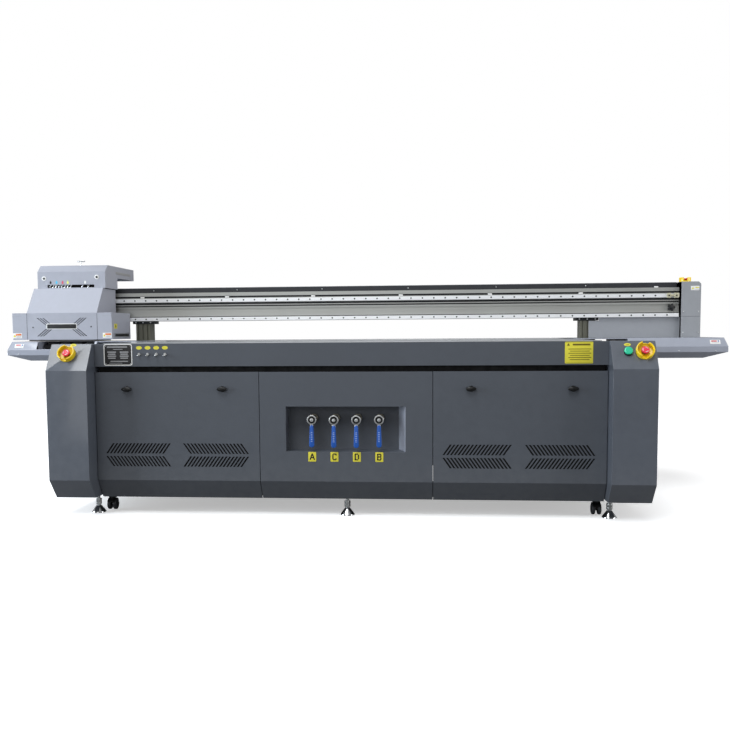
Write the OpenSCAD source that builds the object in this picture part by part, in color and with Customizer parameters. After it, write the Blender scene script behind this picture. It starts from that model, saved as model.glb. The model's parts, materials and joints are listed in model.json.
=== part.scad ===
// Flatbed UV printer: a cabinet with a vacuum table, a gantry that travels front to back on
// two guide rails, and a print carriage that travels across the gantry beam.
// X runs to the right of someone at the front, Y to the back, Z up. The floor is Z = 0.

/* [Overall] */
// Width of the base over its corner columns
base_w = 3062; // [2500:2:3900]
// Depth of the base over its corner columns
base_d = 2130; // [1700:10:2700]
// Height of the vacuum table's top face
table_h = 906; // [860:1:1100]
// How far each gantry wing reaches out beyond the columns
wing_reach = 557; // [540:1:760]

/* [Columns and panels] */
// Width of a corner column
column_w = 215; // [180:1:260]
// How far the column faces stand in front of the doors
column_step = 106; // [60:1:140]
// Set-back of a column's upper and lower slopes
column_chamfer_d = 80; // [40:1:100]
// Height of a column's upper slope
column_chamfer_h = 135; // [90:1:180]
// Height of the column's bottom edge above the floor
column_bottom = 98; // [80:1:140]
// Height of a column's lower slope
column_foot_h = 105; // [60:1:160]
// Sheet thickness of the covers
sheet = 3; // [2:0.5:4]
// Height of the front apron
apron_h = 118; // [90:1:150]
// Dark gap between the apron and the doors
apron_gap = 30; // [10:1:40]
// Width of the fixed centre panel
centre_w = 892; // [760:2:1040]
// Gap around a door
door_gap = 3; // [2:0.5:6]
// Height of the doors' bottom edge above the floor
door_bottom = 88; // [70:1:110]
// Height of the doors' lower slope
door_foot_h = 101; // [60:1:140]
// Set-back of the doors' lower slope
door_foot_d = 58; // [30:1:70]

/* [Vents] */
// Slots in one row of a vent
vent_slots = 17; // [8:1:20]
// Pitch of the slots
vent_pitch = 18.8; // [14:0.1:22]
// Width of a slot
vent_slot_w = 10; // [4:0.5:12]
// Height of one row
vent_row_h = 54; // [30:1:70]
// How far a slot leans over its height
vent_lean = 38; // [10:1:50]
// Gap between the two rows
vent_row_gap = 14; // [8:1:24]
// Height of the vent's middle above the floor
vent_z = 323; // [260:1:420]

/* [Valves] */
// Width of the valve recess
recess_w = 617; // [560:1:680]
// Height of the valve recess
recess_h = 233; // [200:1:260]
// Depth of the valve recess
recess_d = 95; // [70:1:120]
// Bottom of the valve recess above the floor
recess_z = 344; // [300:1:400]
// Pitch of the four valves
valve_pitch = 115.3; // [100:0.1:130]
// Length of a valve lever from its stem
lever_len = 142; // [110:1:150]
// Radius of a suction pipe
pipe_r = 20; // [14:1:26]

/* [Doors, latches and switches] */
// Radius of a latch's stem
latch_stem_r = 9; // [6:0.5:12]
// Length of a latch's wing
latch_len = 55; // [40:1:70]
// Distance of a latch below the door's top edge
latch_drop = 88; // [70:1:130]
// Outer radius of an emergency stop's yellow guard
guard_r = 44; // [36:1:46]
// Height of the guard
guard_h = 28; // [20:1:30]
// Radius of the red mushroom head
mushroom_r = 20; // [14:1:26]
// Radius of a push button's stem
stem_r = 10; // [8:0.5:12]
// Height of a mushroom head's underside over its seat
mushroom_seat = 14; // [10:0.5:16]
// Radius of the green start button
start_r = 17; // [12:1:20]
// Running clearance of shafts, stems and pins
fit = 0.05; // [0.02:0.01:0.1]

/* [Table] */
// Radius of a register pin's hole
register_r = 4; // [3:0.5:6]
// Pitch of the four register pin holes
register_pitch = 800; // [500:10:820]

/* [Feet and casters] */
// Radius of a levelling foot's pad
foot_r = 37; // [28:1:45]
// Radius of a foot's stud
stud_r = 8; // [6:1:12]
// Radius of a caster wheel
wheel_r = 30; // [24:1:32]
// Height of the caster wheels above the floor
wheel_lift = 4; // [2:1:8]
// Radius of a caster's axle
axle_r = 5; // [4:0.5:6]

/* [Gantry] */
// Height of the beam's underside above the table
beam_clear = 129; // [110:1:180]
// Height of the beam's aluminium section
beam_h = 177; // [140:1:220]
// Depth of the beam from front to back
beam_d = 190; // [150:1:230]
// Height of the cable trough on the beam
trough_h = 31; // [20:1:40]
// Width of a guide rail
rail_w = 22; // [18:1:26]
// Thickness of a guide rail
rail_t = 22; // [16:1:24]
// Height of the upper rail's middle above the beam's underside
upper_rail_z = 128; // [100:1:135]
// Width of a gantry leg's square section
leg_w = 92; // [70:2:110]
// How far the wings' front edge stands in front of the beam
wing_front = 400; // [360:1:440]
// Height of the wings
wing_h = 114; // [90:1:120]
// How far the end cover reaches behind the beam, around the motor
end_reach = 81; // [78:1:110]
// Width of the end cover
end_cover_w = 115; // [90:1:120]
// Radius of a ball screw
screw_r = 12.5; // [8:0.5:14]
// Radius of a belt pulley
pulley_r = 18; // [14:1:19]

/* [Carriage] */
// Width of the carriage over its lamp housings
head_w = 619; // [560:1:640]
// Width of a lamp housing
lamp_w = 91; // [70:1:100]
// Height of the lower carriage cover
head_h = 161; // [130:1:190]
// Height of the carriage cover's bottom above the table
head_clear = 17; // [14:1:40]
// Depth of the lower carriage cover
head_d = 306; // [300:1:340]
// Height of the sloped cover
slope_h = 152; // [120:1:180]
// Set-back of the sloped cover
slope_d = 106; // [60:1:120]
// Height of the upper cover above the slope
top_h = 142; // [120:1:170]
// Reach of the cable arm behind the beam
arm_reach = 75; // [72:1:110]

/* [Hidden] */
$fn = 40;

// Base
half_w = base_w / 2;
face_y = -base_d / 2;
door_y = face_y + column_step;
column_in = half_w - column_w;
top_gap = 2;
column_top = table_h - top_gap;
column_deep = 170;
crease_hi = column_top - column_chamfer_h;
crease_lo = column_bottom + column_foot_h;
apron_bottom = column_top - apron_h;
door_top = apron_bottom - apron_gap;
door_in = centre_w / 2;
door_out = column_in - door_gap;
side_gap = 8;
panel_lip = 11;

// Frame
leg_x = column_in + 77;
side_beam_w = 120;
side_beam_h = 130;
rail_seat = 76;
side_beam_top = table_h - rail_seat;
low_z = 100;
low_h = 60;
low_w = 140;
low_front_y = door_y + door_foot_d + 6 + low_w / 2;
low_mid_w = 80;
low_mid_y = [160, 520];
low_in = column_in - 9;
post_w = 80;
post_y = base_d / 2 - 225;
cross_w = 60;
cross_rows = 4;
tube_wall = 5;
foot_x = column_in + 30;
foot_y = door_y + 78;
bed_t = 30;
plenum_h = 76;
bed_in_x = column_in - 26;
bed_front_y = door_y + 59;
bed_back_y = base_d / 2 - 505;
cross_top = table_h - bed_t - plenum_h;
zones = 4;
zone_edge = 60;
rear_panel_y = base_d / 2 - 125;
rear_panel_top = column_top - 26;
y_rail_w = 30;
y_rail_h = 28;
y_rail_end = base_d / 2 - 205;
screw_x = leg_x + side_beam_w / 2 + 25;
screw_z = side_beam_top + 20;
screw_mount_y = base_d / 2 - 195;
mount_t = 16;
nut_r = 23;
journal_r = 10;
motor_w = 66;

// Gantry
beam_front = 11;
beam_bottom = table_h + beam_clear;
beam_top = beam_bottom + beam_h;
trough_top = beam_top + trough_h;
beam_back = beam_front + beam_d;
deck_bottom = table_h + 1;
deck_t = 5;
deck_top = deck_bottom + deck_t;
wing_in = half_w + 14;
wing_out = half_w + wing_reach;
wing_y = beam_front - wing_front;
wing_top = deck_top;
wing_bottom = deck_top - wing_h;
wing_back = beam_back + 4;
wing_lip = 28;
leg_top_t = 18;
leg_y = beam_front + 1;
leg_plate_d = leg_w + 14;
end_panel_x = column_in + 82;
end_in = wing_out - 150;
beam_right = end_in - 6;
beam_left = -wing_out + 48;
end_y = beam_front - 25;
end_cover_d = beam_back + end_reach - end_y;
end_top = trough_top + 2;
belt_gap = 10.5;
belt_t = 3;
belt_w = 24;
pulley_y = beam_back + belt_gap + pulley_r;
pulley_z = beam_bottom + 75;
pulley_right = end_in + 52;
pulley_left = beam_left + 30;
shaft_r = 8;
deck_leg_gap = 5;

// Carriage
head_left = -wing_out + 3;
head_right = head_left + head_w;
head_bottom = table_h + head_clear;
head_top = head_bottom + head_h;
head_back = -beam_front - 5;
head_y = head_back - head_d;
mid_left = head_left + lamp_w;
mid_right = head_right - lamp_w;
slope_top = head_top + slope_h;
slope_y = head_y + slope_d;
top_left = mid_left + 24;
top_right = mid_right + 15;
top_front = slope_y + 2;
top_z = slope_top + top_h;
top_chamfer_z = 41;
top_chamfer_y = 46;
arm_back = beam_back + arm_reach;
arm_h = 72;
slider_left = top_left + 10;
slider_right = mid_right - 8;
slider_t = 12;
slider_y = -beam_front - 36;
block_l = 110;
block_wrap = 16;
rod_r = 10;
rod_y = slider_y - 28;
head_plate_z = table_h + 10;

// Valves and switches
valve_z = recess_z + 166;
lever_t = 5;
grip_t = 12;
grip_w = 26;
ring_r = 25;
lever_front_back = [6, 22, 22, 6];
valve_x = [-1.5 * valve_pitch, -0.5 * valve_pitch, 0.5 * valve_pitch, 1.5 * valve_pitch];
slope_turn = atan2(column_chamfer_h, column_chamfer_d);
seat_gap = 0.02;
switch_drop = 52;
estop_in = 97;
start_in = 136;
right_estop_in = 58;
toggle_pitch = 46;
toggle_first = -column_in + 242;
toggle_x = [toggle_first, toggle_first + toggle_pitch, toggle_first + 2 * toggle_pitch,
            toggle_first + 3 * toggle_pitch];
toggle_z = column_top - 55;
toggle_turn = 24;
latch_out = door_out - 170;
latch_in = door_in + 192;
latch_x = [-latch_out, -latch_in, latch_in, latch_out];
caster_x = column_in - 26;
caster_trail = 18;
caster_y = foot_y + 75;
disc_w = 17;
disc_x = 15.5;
wheel_z = wheel_r + wheel_lift;

module box(x0, x1, y0, y1, z0, z1) {
    translate([x0, y0, z0]) cube([x1 - x0, y1 - y0, z1 - z0]);
}

// A profile drawn in the YZ plane, carried along X from x0 to x1
module along_x(x0, x1, points) {
    translate([x0, 0, 0]) rotate([90, 0, 90]) linear_extrude(x1 - x0) polygon(points);
}

module both_sides() {
    children();
    mirror([1, 0, 0]) children();
}

module rod_z(x, y, z0, z1, r) {
    translate([x, y, z0]) cylinder(r = r, h = z1 - z0);
}

module rod_y(x, z, y0, y1, r) {
    translate([x, y0, z]) rotate([-90, 0, 0]) cylinder(r = r, h = y1 - y0);
}

module rod_x(y, z, x0, x1, r) {
    translate([x0, y, z]) rotate([0, 90, 0]) cylinder(r = r, h = x1 - x0);
}

// ---- frame ----

// Square tubes along each axis, open at both ends
module tube_x(x0, x1, y0, y1, z0, z1) {
    t = tube_wall;
    difference() {
        box(x0, x1, y0, y1, z0, z1);
        box(x0 - 1, x1 + 1, y0 + t, y1 - t, z0 + t, z1 - t);
    }
}

module tube_y(x0, x1, y0, y1, z0, z1) {
    t = tube_wall;
    difference() {
        box(x0, x1, y0, y1, z0, z1);
        box(x0 + t, x1 - t, y0 - 1, y1 + 1, z0 + t, z1 - t);
    }
}

module tube_z(x0, x1, y0, y1, z0, z1) {
    t = tube_wall;
    difference() {
        box(x0, x1, y0, y1, z0, z1);
        box(x0 + t, x1 - t, y0 + t, y1 - t, z0 - 1, z1 + 1);
    }
}

module frame_posts() {
    w = post_w / 2;
    color("#3a3d42") both_sides() for (y = [-post_y, post_y])
        tube_z(leg_x - w, leg_x + w, y - w, y + w, low_z + low_h, side_beam_top - side_beam_h);
}

module frame_side_beams() {
    end = screw_mount_y + mount_t / 2 - 3;
    low_end = low_w / 2 - low_front_y;
    color("#3a3d42") both_sides() {
        tube_y(leg_x - side_beam_w / 2, leg_x + side_beam_w / 2, -end, end,
            side_beam_top - side_beam_h, side_beam_top);
        tube_y(low_in, leg_x + post_w / 2, -low_end, low_end, low_z, low_z + low_h);
    }
}

module frame_crossbeams() {
    span = leg_x - side_beam_w / 2;
    w = cross_w / 2;
    color("#3a3d42") {
        for (i = [0 : cross_rows - 1])
            let (y = post_y * (2 * i / (cross_rows - 1) - 1))
                tube_x(-span, span, y - w, y + w, cross_top - cross_w, cross_top);
        for (y = [low_front_y, -low_front_y])
            tube_x(-low_in, low_in, y - low_w / 2, y + low_w / 2, low_z, low_z + low_h);
        for (y = low_mid_y)
            tube_x(-low_in, low_in, y - low_mid_w / 2, y + low_mid_w / 2, low_z, low_z + low_h);
    }
}

// ---- covers ----

// One corner column: a folded sheet shell that is open at its back
module column_shell() {
    s = sheet;
    cd = column_chamfer_d;
    outer = [[face_y + cd, column_top], [face_y, crease_hi], [face_y, crease_lo],
             [face_y + cd, column_bottom], [face_y + column_deep, column_bottom],
             [face_y + column_deep, column_top]];
    inner = [[face_y + cd + s / 2, column_top - s], [face_y + s, crease_hi - s / 2],
             [face_y + s, crease_lo + s / 2], [face_y + cd + s / 2, column_bottom + s],
             [face_y + column_deep + 1, column_bottom + s], [face_y + column_deep + 1, column_top - s]];
    difference() {
        along_x(column_in, half_w, outer);
        along_x(column_in + s, half_w - s, inner);
    }
}

// Puts its children on a column's upper slope, with +Z out of the face
module on_slope(x) {
    drop = switch_drop;
    translate([x, face_y + column_chamfer_d * (1 - drop / column_chamfer_h), column_top - drop])
        rotate([slope_turn, 0, 0]) translate([0, 0, seat_gap]) children();
}

module front_columns() {
    color("#666b76") difference() {
        both_sides() column_shell();
        on_slope(-half_w + estop_in) translate([0, 0, -20]) cylinder(r = stem_r + fit, h = 40);
        on_slope(half_w - right_estop_in) translate([0, 0, -20]) cylinder(r = stem_r + fit, h = 40);
        on_slope(half_w - start_in) translate([0, 0, -20]) cylinder(r = stem_r + fit, h = 40);
    }
}

module rear_columns() {
    color("#666b76") mirror([0, 1, 0]) both_sides() column_shell();
}

// A flanged sheet panel across the back, from x0 to x1
module rear_panel(x0, x1, vented) {
    s = sheet;
    lip = 14;
    span = vent_slots * vent_pitch + vent_lean;
    difference() {
        box(x0, x1, rear_panel_y, rear_panel_y + lip, column_bottom, rear_panel_top);
        box(x0 + s, x1 - s, rear_panel_y - 1, rear_panel_y + lip - s,
            column_bottom + s, rear_panel_top - s);
        if (vented) translate([0, rear_panel_y + lip - s - door_y, 0]) vent((x0 + x1 - span) / 2, -1);
    }
}

module cabinet_panels() {
    s = sheet;
    x1 = half_w - side_gap;
    y1 = base_d / 2 - column_deep - 2;
    top = side_beam_top + 48;
    third = column_in / 3;
    deck_front = bed_back_y + 3;
    color("#4c5057") {
        both_sides() difference() {
            box(x1 - panel_lip, x1, -y1, y1, column_bottom, top);
            box(x1 - panel_lip - 1, x1 - s, -y1 - 1, y1 + 1, column_bottom + s, top - s);
        }
        for (i = [-1 : 1]) rear_panel((2 * i - 1) * third + 1, (2 * i + 1) * third - 1, i != 0);
        difference() {
            box(-bed_in_x, bed_in_x, deck_front, rear_panel_y + 14, rear_panel_top + 1, column_top);
            box(-bed_in_x + s, bed_in_x - s, deck_front + s, rear_panel_y + 14 - s,
                rear_panel_top, column_top - s);
        }
    }
}

module front_apron() {
    s = sheet;
    lip = bed_front_y - door_y - 3;
    x1 = column_in - 1;
    color("#54585f") difference() {
        box(-x1, x1, door_y, door_y + lip, apron_bottom, column_top);
        box(-x1 - 1, x1 + 1, door_y + s, door_y + lip + 1, apron_bottom + s, column_top - s);
        for (x = toggle_x) rod_y(x, toggle_z, door_y - 1, door_y + s + 1, 6);
    }
}

// The folded profile that the doors and the centre panel share
function front_profile(t) = [
    [door_y, door_top], [door_y, door_bottom + door_foot_h], [door_y + door_foot_d, door_bottom],
    [door_y + door_foot_d + t, door_bottom + t], [door_y + t, door_bottom + door_foot_h + t / 2],
    [door_y + t, door_top]
];

module centre_panel() {
    s = sheet;
    x1 = door_in - door_gap / 2;
    rx = recess_w / 2;
    color("#565a62") difference() {
        union() {
            along_x(-x1, x1, front_profile(s));
            box(-rx - s, rx + s, door_y, door_y + recess_d + s, recess_z - s, recess_z + recess_h + s);
        }
        box(-rx, rx, door_y - 1, door_y + recess_d, recess_z, recess_z + recess_h);
        for (x = valve_x) rod_y(x, valve_z, door_y + recess_d - 1, door_y + recess_d + s + 1, pipe_r + 1);
    }
}

// One row of leaning vent slots; lean is the top's shift to the right
module vent_row(x0, z0, lean) {
    for (i = [0 : vent_slots - 1])
        translate([x0 + i * vent_pitch, door_y + sheet + 1, z0]) rotate([90, 0, 0])
            linear_extrude(sheet + 2) polygon([[0, 0], [vent_slot_w, 0],
                [vent_slot_w + lean, vent_row_h], [lean, vent_row_h]]);
}

// Two rows that make arrowheads; dir is -1 for pointing left and 1 for pointing right
module vent(x0, dir) {
    shift = dir < 0 ? 0 : vent_lean;
    vent_row(x0 + shift, vent_z + vent_row_gap / 2, -dir * vent_lean);
    vent_row(x0 + vent_lean - shift, vent_z - vent_row_gap / 2 - vent_row_h, dir * vent_lean);
}

module door(x0, x1, latches) {
    s = 2;
    lip = 20;
    span = vent_slots * vent_pitch + vent_lean;
    side = (x1 - x0 - 2 * span) / 3.2;
    color("#565a62") difference() {
        union() {
            along_x(x0, x1, front_profile(s));
            box(x0, x1, door_y, door_y + lip, door_top - s, door_top);
            box(x0, x0 + s, door_y, door_y + lip, door_bottom + door_foot_h, door_top);
            box(x1 - s, x1, door_y, door_y + lip, door_bottom + door_foot_h, door_top);
        }
        for (x = latches) rod_y(x, door_top - latch_drop, door_y - 1, door_y + s + 1, latch_stem_r + fit);
        vent(x0 + side, -1);
        vent(x1 - side - span, 1);
    }
}

module door_left() door(-door_out, -door_in - door_gap / 2, [latch_x[0], latch_x[1]]);

module door_right() door(door_in + door_gap / 2, door_out, [latch_x[2], latch_x[3]]);

// A quarter-turn latch: oval wing in front, stem through the door, cam behind it
module latch(x) {
    z = door_top - latch_drop;
    color("#17181a") {
        rod_y(x, z, door_y - 6, door_y - 0.5, 15);
        rod_y(x, z, door_y - 6, door_y + 10, latch_stem_r);
        difference() {
            translate([x, door_y - 20, z]) scale([latch_len / 24, 1, 1]) rotate([-90, 0, 0])
                cylinder(r = 12, h = 14);
            for (side = [-1, 1])
                translate([x, door_y - 21, z + side * 13]) rotate([0, -9, 0])
                    box(-latch_len, latch_len, 0, 20, -4, 4);
        }
        box(x - 11, x + 11, door_y + 8, door_y + 11, z - 24, z + 12);
    }
}

// ---- table ----

module vacuum_bed() {
    plate = 12;
    zone_w = 2 * (bed_in_x - zone_edge) / zones;
    color("#b9bdc4") difference() {
        box(-bed_in_x, bed_in_x, bed_front_y, bed_back_y, table_h - bed_t, table_h);
        for (i = [0 : zones - 1])
            let (x0 = -bed_in_x + zone_edge + i * zone_w)
                box(x0 + 8, x0 + zone_w - 8, bed_front_y + 40, bed_back_y - 40, table_h - bed_t - 1,
                    table_h - plate);
        for (i = [-1.5 : 1 : 1.5])
            let (x = i * register_pitch)
                    rod_z(x, bed_front_y + 24, table_h - 14, table_h + 1, register_r);
    }
}

module vacuum_system() {
    s = 4;
    zone_w = 2 * (bed_in_x - zone_edge) / zones;
    color("#7d8288") {
        for (i = [0 : zones - 1])
            let (x0 = -bed_in_x + zone_edge + i * zone_w + 2, x1 = x0 + zone_w - 4)
                difference() {
                    box(x0, x1, bed_front_y + 30, bed_back_y - 30, cross_top, table_h - bed_t);
                    box(x0 + s, x1 - s, bed_front_y + 30 + s, bed_back_y - 30 - s,
                        cross_top + s, table_h - bed_t + 1);
                }
    }
    color("#3f6f8f") {
        box(-820, -420, 140, 540, low_z + low_h, low_z + low_h + 12);
        rod_x(340, 360, -760, -560, 150);
        rod_x(340, 360, -560, -430, 70);
        box(-740, -580, 210, 470, low_z + low_h + 12, 300);
        rod_x(340, 360, -790, -760, 60);
    }
}

module ball_valves() {
    back = door_y + recess_d + sheet;
    riser_y = back + 84;
    color("#c9a14a") for (i = [0 : 3])
        let (x = valve_x[i], reach = door_y - lever_front_back[i]) {
            rod_y(x, valve_z, reach + 40, back - sheet, pipe_r + 6);
            rod_y(x, valve_z, back - sheet, riser_y, pipe_r);
            rod_z(x, riser_y, valve_z, cross_top, pipe_r);
            translate([x, riser_y, valve_z]) sphere(r = pipe_r);
            rod_y(x, valve_z, reach + 1, reach + 40, 8);
        }
}

// A ball valve's lever: dished ring around the stem's nut, neck and sleeved grip, hanging down
module valve_lever(i) {
    x = valve_x[i];
    face = door_y - lever_front_back[i];
    low = valve_z - lever_len + grip_w / 2;
    neck_w = 16;
    stem_nut_r = 9;
    color("#1f4fb0") {
        difference() {
            rod_y(x, valve_z, face - lever_t, face, ring_r);
            difference() {
                rod_y(x, valve_z, face - lever_t - 1, face - 2, ring_r - 5);
                rod_y(x, valve_z, face - lever_t - 2, face, stem_nut_r);
            }
        }
        rod_y(x, valve_z, face - lever_t - 5, face - 1, stem_nut_r);
        box(x - neck_w / 2, x + neck_w / 2, face - lever_t, face,
            valve_z - ring_r - 14, valve_z - ring_r + 2);
        translate([x, face + 1, low]) rotate([90, 0, 0]) cylinder(r = grip_w / 2, h = grip_t);
        box(x - grip_w / 2, x + grip_w / 2, face + 1 - grip_t, face + 1, low, valve_z - ring_r - 10);
    }
}

// ---- switches ----

// An emergency stop's shroud: a cup with two finger notches
module guard(r) {
    difference() {
        cylinder(r = r, h = guard_h);
        translate([0, 0, -1]) cylinder(r = stem_r + 2, h = guard_h + 2);
        translate([0, 0, 4]) cylinder(r = r - 6, h = guard_h);
        for (turn = [25, 205]) rotate([0, 0, turn]) box(0, r + 1, -15, 15, 12, guard_h + 1);
    }
}

// A mushroom-headed button on its stem
module mushroom() {
    cylinder(r = mushroom_r, h = 9);
    translate([0, 0, -30]) cylinder(r = stem_r, h = 31);
}

module switch_guards() {
    color("#e3b91c") {
        on_slope(-half_w + estop_in) guard(guard_r);
        on_slope(half_w - right_estop_in) guard(guard_r);
    }
    color("#c8ccd0") {
        on_slope(half_w - start_in) difference() {
            cylinder(r = start_r + 4, h = 5);
            translate([0, 0, -1]) cylinder(r = start_r + 0.5, h = 7);
        }
        for (x = toggle_x) difference() {
            rod_y(x, toggle_z, door_y - 7, door_y, 9);
            rod_y(x, toggle_z, door_y - 8, door_y + 1, 5.9);
        }
    }
}

module estop_button(x) color("#d8324a") on_slope(x) translate([0, 0, mushroom_seat]) mushroom();

module estop_button_left() estop_button(-half_w + estop_in);

module estop_button_right() estop_button(half_w - right_estop_in);

module start_button() color("#2fc9a0") on_slope(half_w - start_in) {
    translate([0, 0, 4]) cylinder(r = start_r, h = 7);
    translate([0, 0, -20]) cylinder(r = stem_r, h = 25);
}

// A toggle: pivot ball behind the apron and a bat lever that rests pointing down
module toggle(i) {
    color("#d5d8dc") translate([toggle_x[i], door_y + 6, toggle_z]) rotate([90 + toggle_turn / 2, 0, 0]) {
        sphere(r = 5);
        cylinder(r = 2, h = 30);
        translate([0, 0, 16]) cylinder(r1 = 2, r2 = 3.6, h = 15);
    }
}

module toggle_1() toggle(0);
module toggle_2() toggle(1);
module toggle_3() toggle(2);
module toggle_4() toggle(3);

// ---- feet and casters ----

module levelling_feet() {
    color("#d0d3d7") for (x = [-foot_x, 0, foot_x], y = [foot_y, -foot_y]) {
        translate([x, y, 0]) {
            cylinder(r = foot_r, h = 5);
            translate([0, 0, 5]) cylinder(r1 = foot_r, r2 = stud_r + 1, h = 35);
            cylinder(r = stud_r, h = low_z);
            for (z = [43, 60]) translate([0, 0, z]) cylinder(r = 15, h = 14, $fn = 6);
        }
    }
}

// A twin-wheel caster's fork, with the wheel's axle at (x, y + trail, wheel_z)
module caster_fork(x, y, trail) {
    color("#1b1c1e") {
        box(x - 30, x + 30, y - 30, y + 30, low_z - 4, low_z);
        rod_z(x, y, low_z - 14, low_z - 4, 20);
        caster_hood(x, y, y + trail);
    }
}

// The web between a caster's two discs and the hood over them
module caster_hood(x, y, axle_y) {
    y0 = min(y, axle_y) - 12;
    y1 = max(y, axle_y) + 12;
    difference() {
        union() {
            box(x - 6, x + 6, y0, y1, wheel_z - 8, low_z - 12);
            box(x - disc_x - 6, x + disc_x + 6, y0, y1, wheel_z + wheel_r + 2, low_z - 12);
        }
        rod_x(axle_y, wheel_z, x - 30, x + 30, axle_r + fit);
    }
}

// The swivelling top of a caster leaves its plate on the frame
module swivel_fork(x, y, trail) {
    color("#1b1c1e") {
        rod_z(x, y, low_z - 14, low_z - 0.3, 20);
        caster_hood(x, y, y + trail);
    }
}

// Two discs on one axle
module caster_wheel(x, y) {
    color("#202124") {
        for (side = [-1, 1])
            translate([x + side * disc_x, y, wheel_z]) rotate([0, 90, 0])
                cylinder(r = wheel_r, h = disc_w, center = true);
        rod_x(y, wheel_z, x - disc_x, x + disc_x, axle_r);
    }
}

module rear_caster_forks() both_sides() caster_fork(caster_x, -caster_y, -caster_trail);

module caster_fork_left() swivel_fork(-caster_x, caster_y, -caster_trail);
module caster_fork_right() swivel_fork(caster_x, caster_y, -caster_trail);
module caster_wheel_front_left() caster_wheel(-caster_x, caster_y - caster_trail);
module caster_wheel_front_right() caster_wheel(caster_x, caster_y - caster_trail);
module caster_wheel_rear_left() caster_wheel(-caster_x, -caster_y - caster_trail);
module caster_wheel_rear_right() caster_wheel(caster_x, -caster_y - caster_trail);

// ---- Y axis ----

module y_axis_rails() {
    w = y_rail_w / 2;
    color("#d9dce0") both_sides() difference() {
        box(leg_x - w, leg_x + w, -y_rail_end, y_rail_end, side_beam_top, side_beam_top + y_rail_h);
        for (side = [-1, 1])
            box(leg_x + side * w - 3, leg_x + side * w + 3, -y_rail_end - 1, y_rail_end + 1,
                side_beam_top + 10, side_beam_top + 16);
    }
}

module y_screw_mounts() {
    color("#2c2f33") both_sides() {
        for (side = [-1, 1]) difference() {
            box(leg_x + side_beam_w / 2, screw_x + 20, side * screw_mount_y - mount_t / 2,
                side * screw_mount_y + mount_t / 2, side_beam_top - 60, screw_z + 24);
            rod_y(screw_x, screw_z, side * screw_mount_y - mount_t, side * screw_mount_y + mount_t,
                journal_r + fit);
        }
        difference() {
            box(screw_x - motor_w / 2, screw_x + motor_w / 2, screw_mount_y + mount_t / 2,
                screw_mount_y + mount_t / 2 + 110, screw_z - motor_w / 2, screw_z + motor_w / 2);
            rod_y(screw_x, screw_z, screw_mount_y, screw_mount_y + 40, journal_r + fit);
        }
    }
}

module y_screw(side) {
    x = side * screw_x;
    inner = screw_mount_y - mount_t / 2 - 1;
    color("#c3c7cc") {
        rod_y(x, screw_z, -inner, inner, screw_r);
        rod_y(x, screw_z, -screw_mount_y - mount_t / 2, -inner, journal_r);
        rod_y(x, screw_z, inner, screw_mount_y + mount_t / 2 + 24, journal_r);
    }
}

module y_screw_left() y_screw(-1);
module y_screw_right() y_screw(1);

// ---- gantry ----

module beam() {
    wall = 9;
    groove_h = 10;
    groove_d = 6;
    plate_t = 10;
    color("#8d9096") {
        difference() {
            box(beam_left, beam_right, beam_front, beam_back, beam_bottom, beam_top);
            box(beam_left - 1, beam_right + 1, beam_front + wall, beam_back - wall,
                beam_bottom + wall, beam_top - wall);
            for (z = [72, 108, 150])
                box(beam_left - 1, beam_right + 1, beam_front - 1, beam_front + groove_d,
                    beam_bottom + z - groove_h / 2, beam_bottom + z + groove_h / 2);
        }
        for (x = [pulley_left, pulley_right], side = [-1, 1]) difference() {
            box(x < 0 ? beam_left : beam_right - 60, x + 26, beam_back, pulley_y + 24,
                pulley_z + side * 33 - plate_t / 2, pulley_z + side * 33 + plate_t / 2);
            rod_z(x, pulley_y, pulley_z - 60, pulley_z + 60, shaft_r + fit);
        }
    }
}

module x_rails() {
    color("#eef0f2") for (z = [rail_w / 2, upper_rail_z]) difference() {
        box(beam_left + 12, beam_right - 6, beam_front - rail_t, beam_front,
            beam_bottom + z - rail_w / 2, beam_bottom + z + rail_w / 2);
        for (side = [-1, 1])
            box(beam_left, beam_right, beam_front - rail_t / 2 - 3, beam_front - rail_t / 2 + 3,
                beam_bottom + z + side * rail_w / 2 - 2.5, beam_bottom + z + side * rail_w / 2 + 2.5);
    }
}

module gantry_legs() {
    foot_z = side_beam_top + y_rail_h + 27;
    foot_t = 12;
    shoe_y = [-120, 150];
    shoe_l = 90;
    w = leg_w / 2;
    rail_gap = 0.5;
    color("#77776c") both_sides() difference() {
        union() {
            box(leg_x - w, leg_x + w, leg_y, leg_y + leg_w, foot_z + foot_t, beam_bottom - leg_top_t);
            box(leg_x - w - 24, leg_x + w + 18, leg_y - 5, leg_y - 5 + leg_plate_d,
                beam_bottom - leg_top_t, beam_bottom);
            box(leg_x - w - 14, leg_x + w + 14, shoe_y[0], shoe_y[1] + shoe_l, foot_z, foot_z + foot_t);
            for (y = shoe_y)
                box(leg_x - 35, leg_x + 35, y, y + shoe_l, side_beam_top + 8, foot_z);
            box(leg_x + 35, screw_x + 4, 20, 70, screw_z + 8, foot_z);
            rod_y(screw_x, screw_z, 10, 80, nut_r);
        }
        for (x = [-30, 0, 30])
            box(leg_x + x - 4, leg_x + x + 4, leg_y - 1, leg_y + 8, foot_z + foot_t, beam_bottom - leg_top_t);
        box(leg_x - y_rail_w / 2 - rail_gap, leg_x + y_rail_w / 2 + rail_gap, shoe_y[0] - 1,
            shoe_y[1] + shoe_l + 1, side_beam_top, side_beam_top + y_rail_h + rail_gap);
        rod_y(screw_x, screw_z, 0, 90, screw_r + fit);
    }
}

// The wing's section from front to back; t insets it by the sheet's thickness
function wing_profile(t) = [
    [wing_y + wing_lip + t / 2, wing_top - t], [wing_y + t, wing_top - 49 - t / 3],
    [wing_y + t, wing_bottom + 34 + t / 3], [wing_y + 40 + t / 2, wing_bottom + t],
    [wing_back - t, wing_bottom + t], [wing_back - t, wing_top - t]
];

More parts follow.
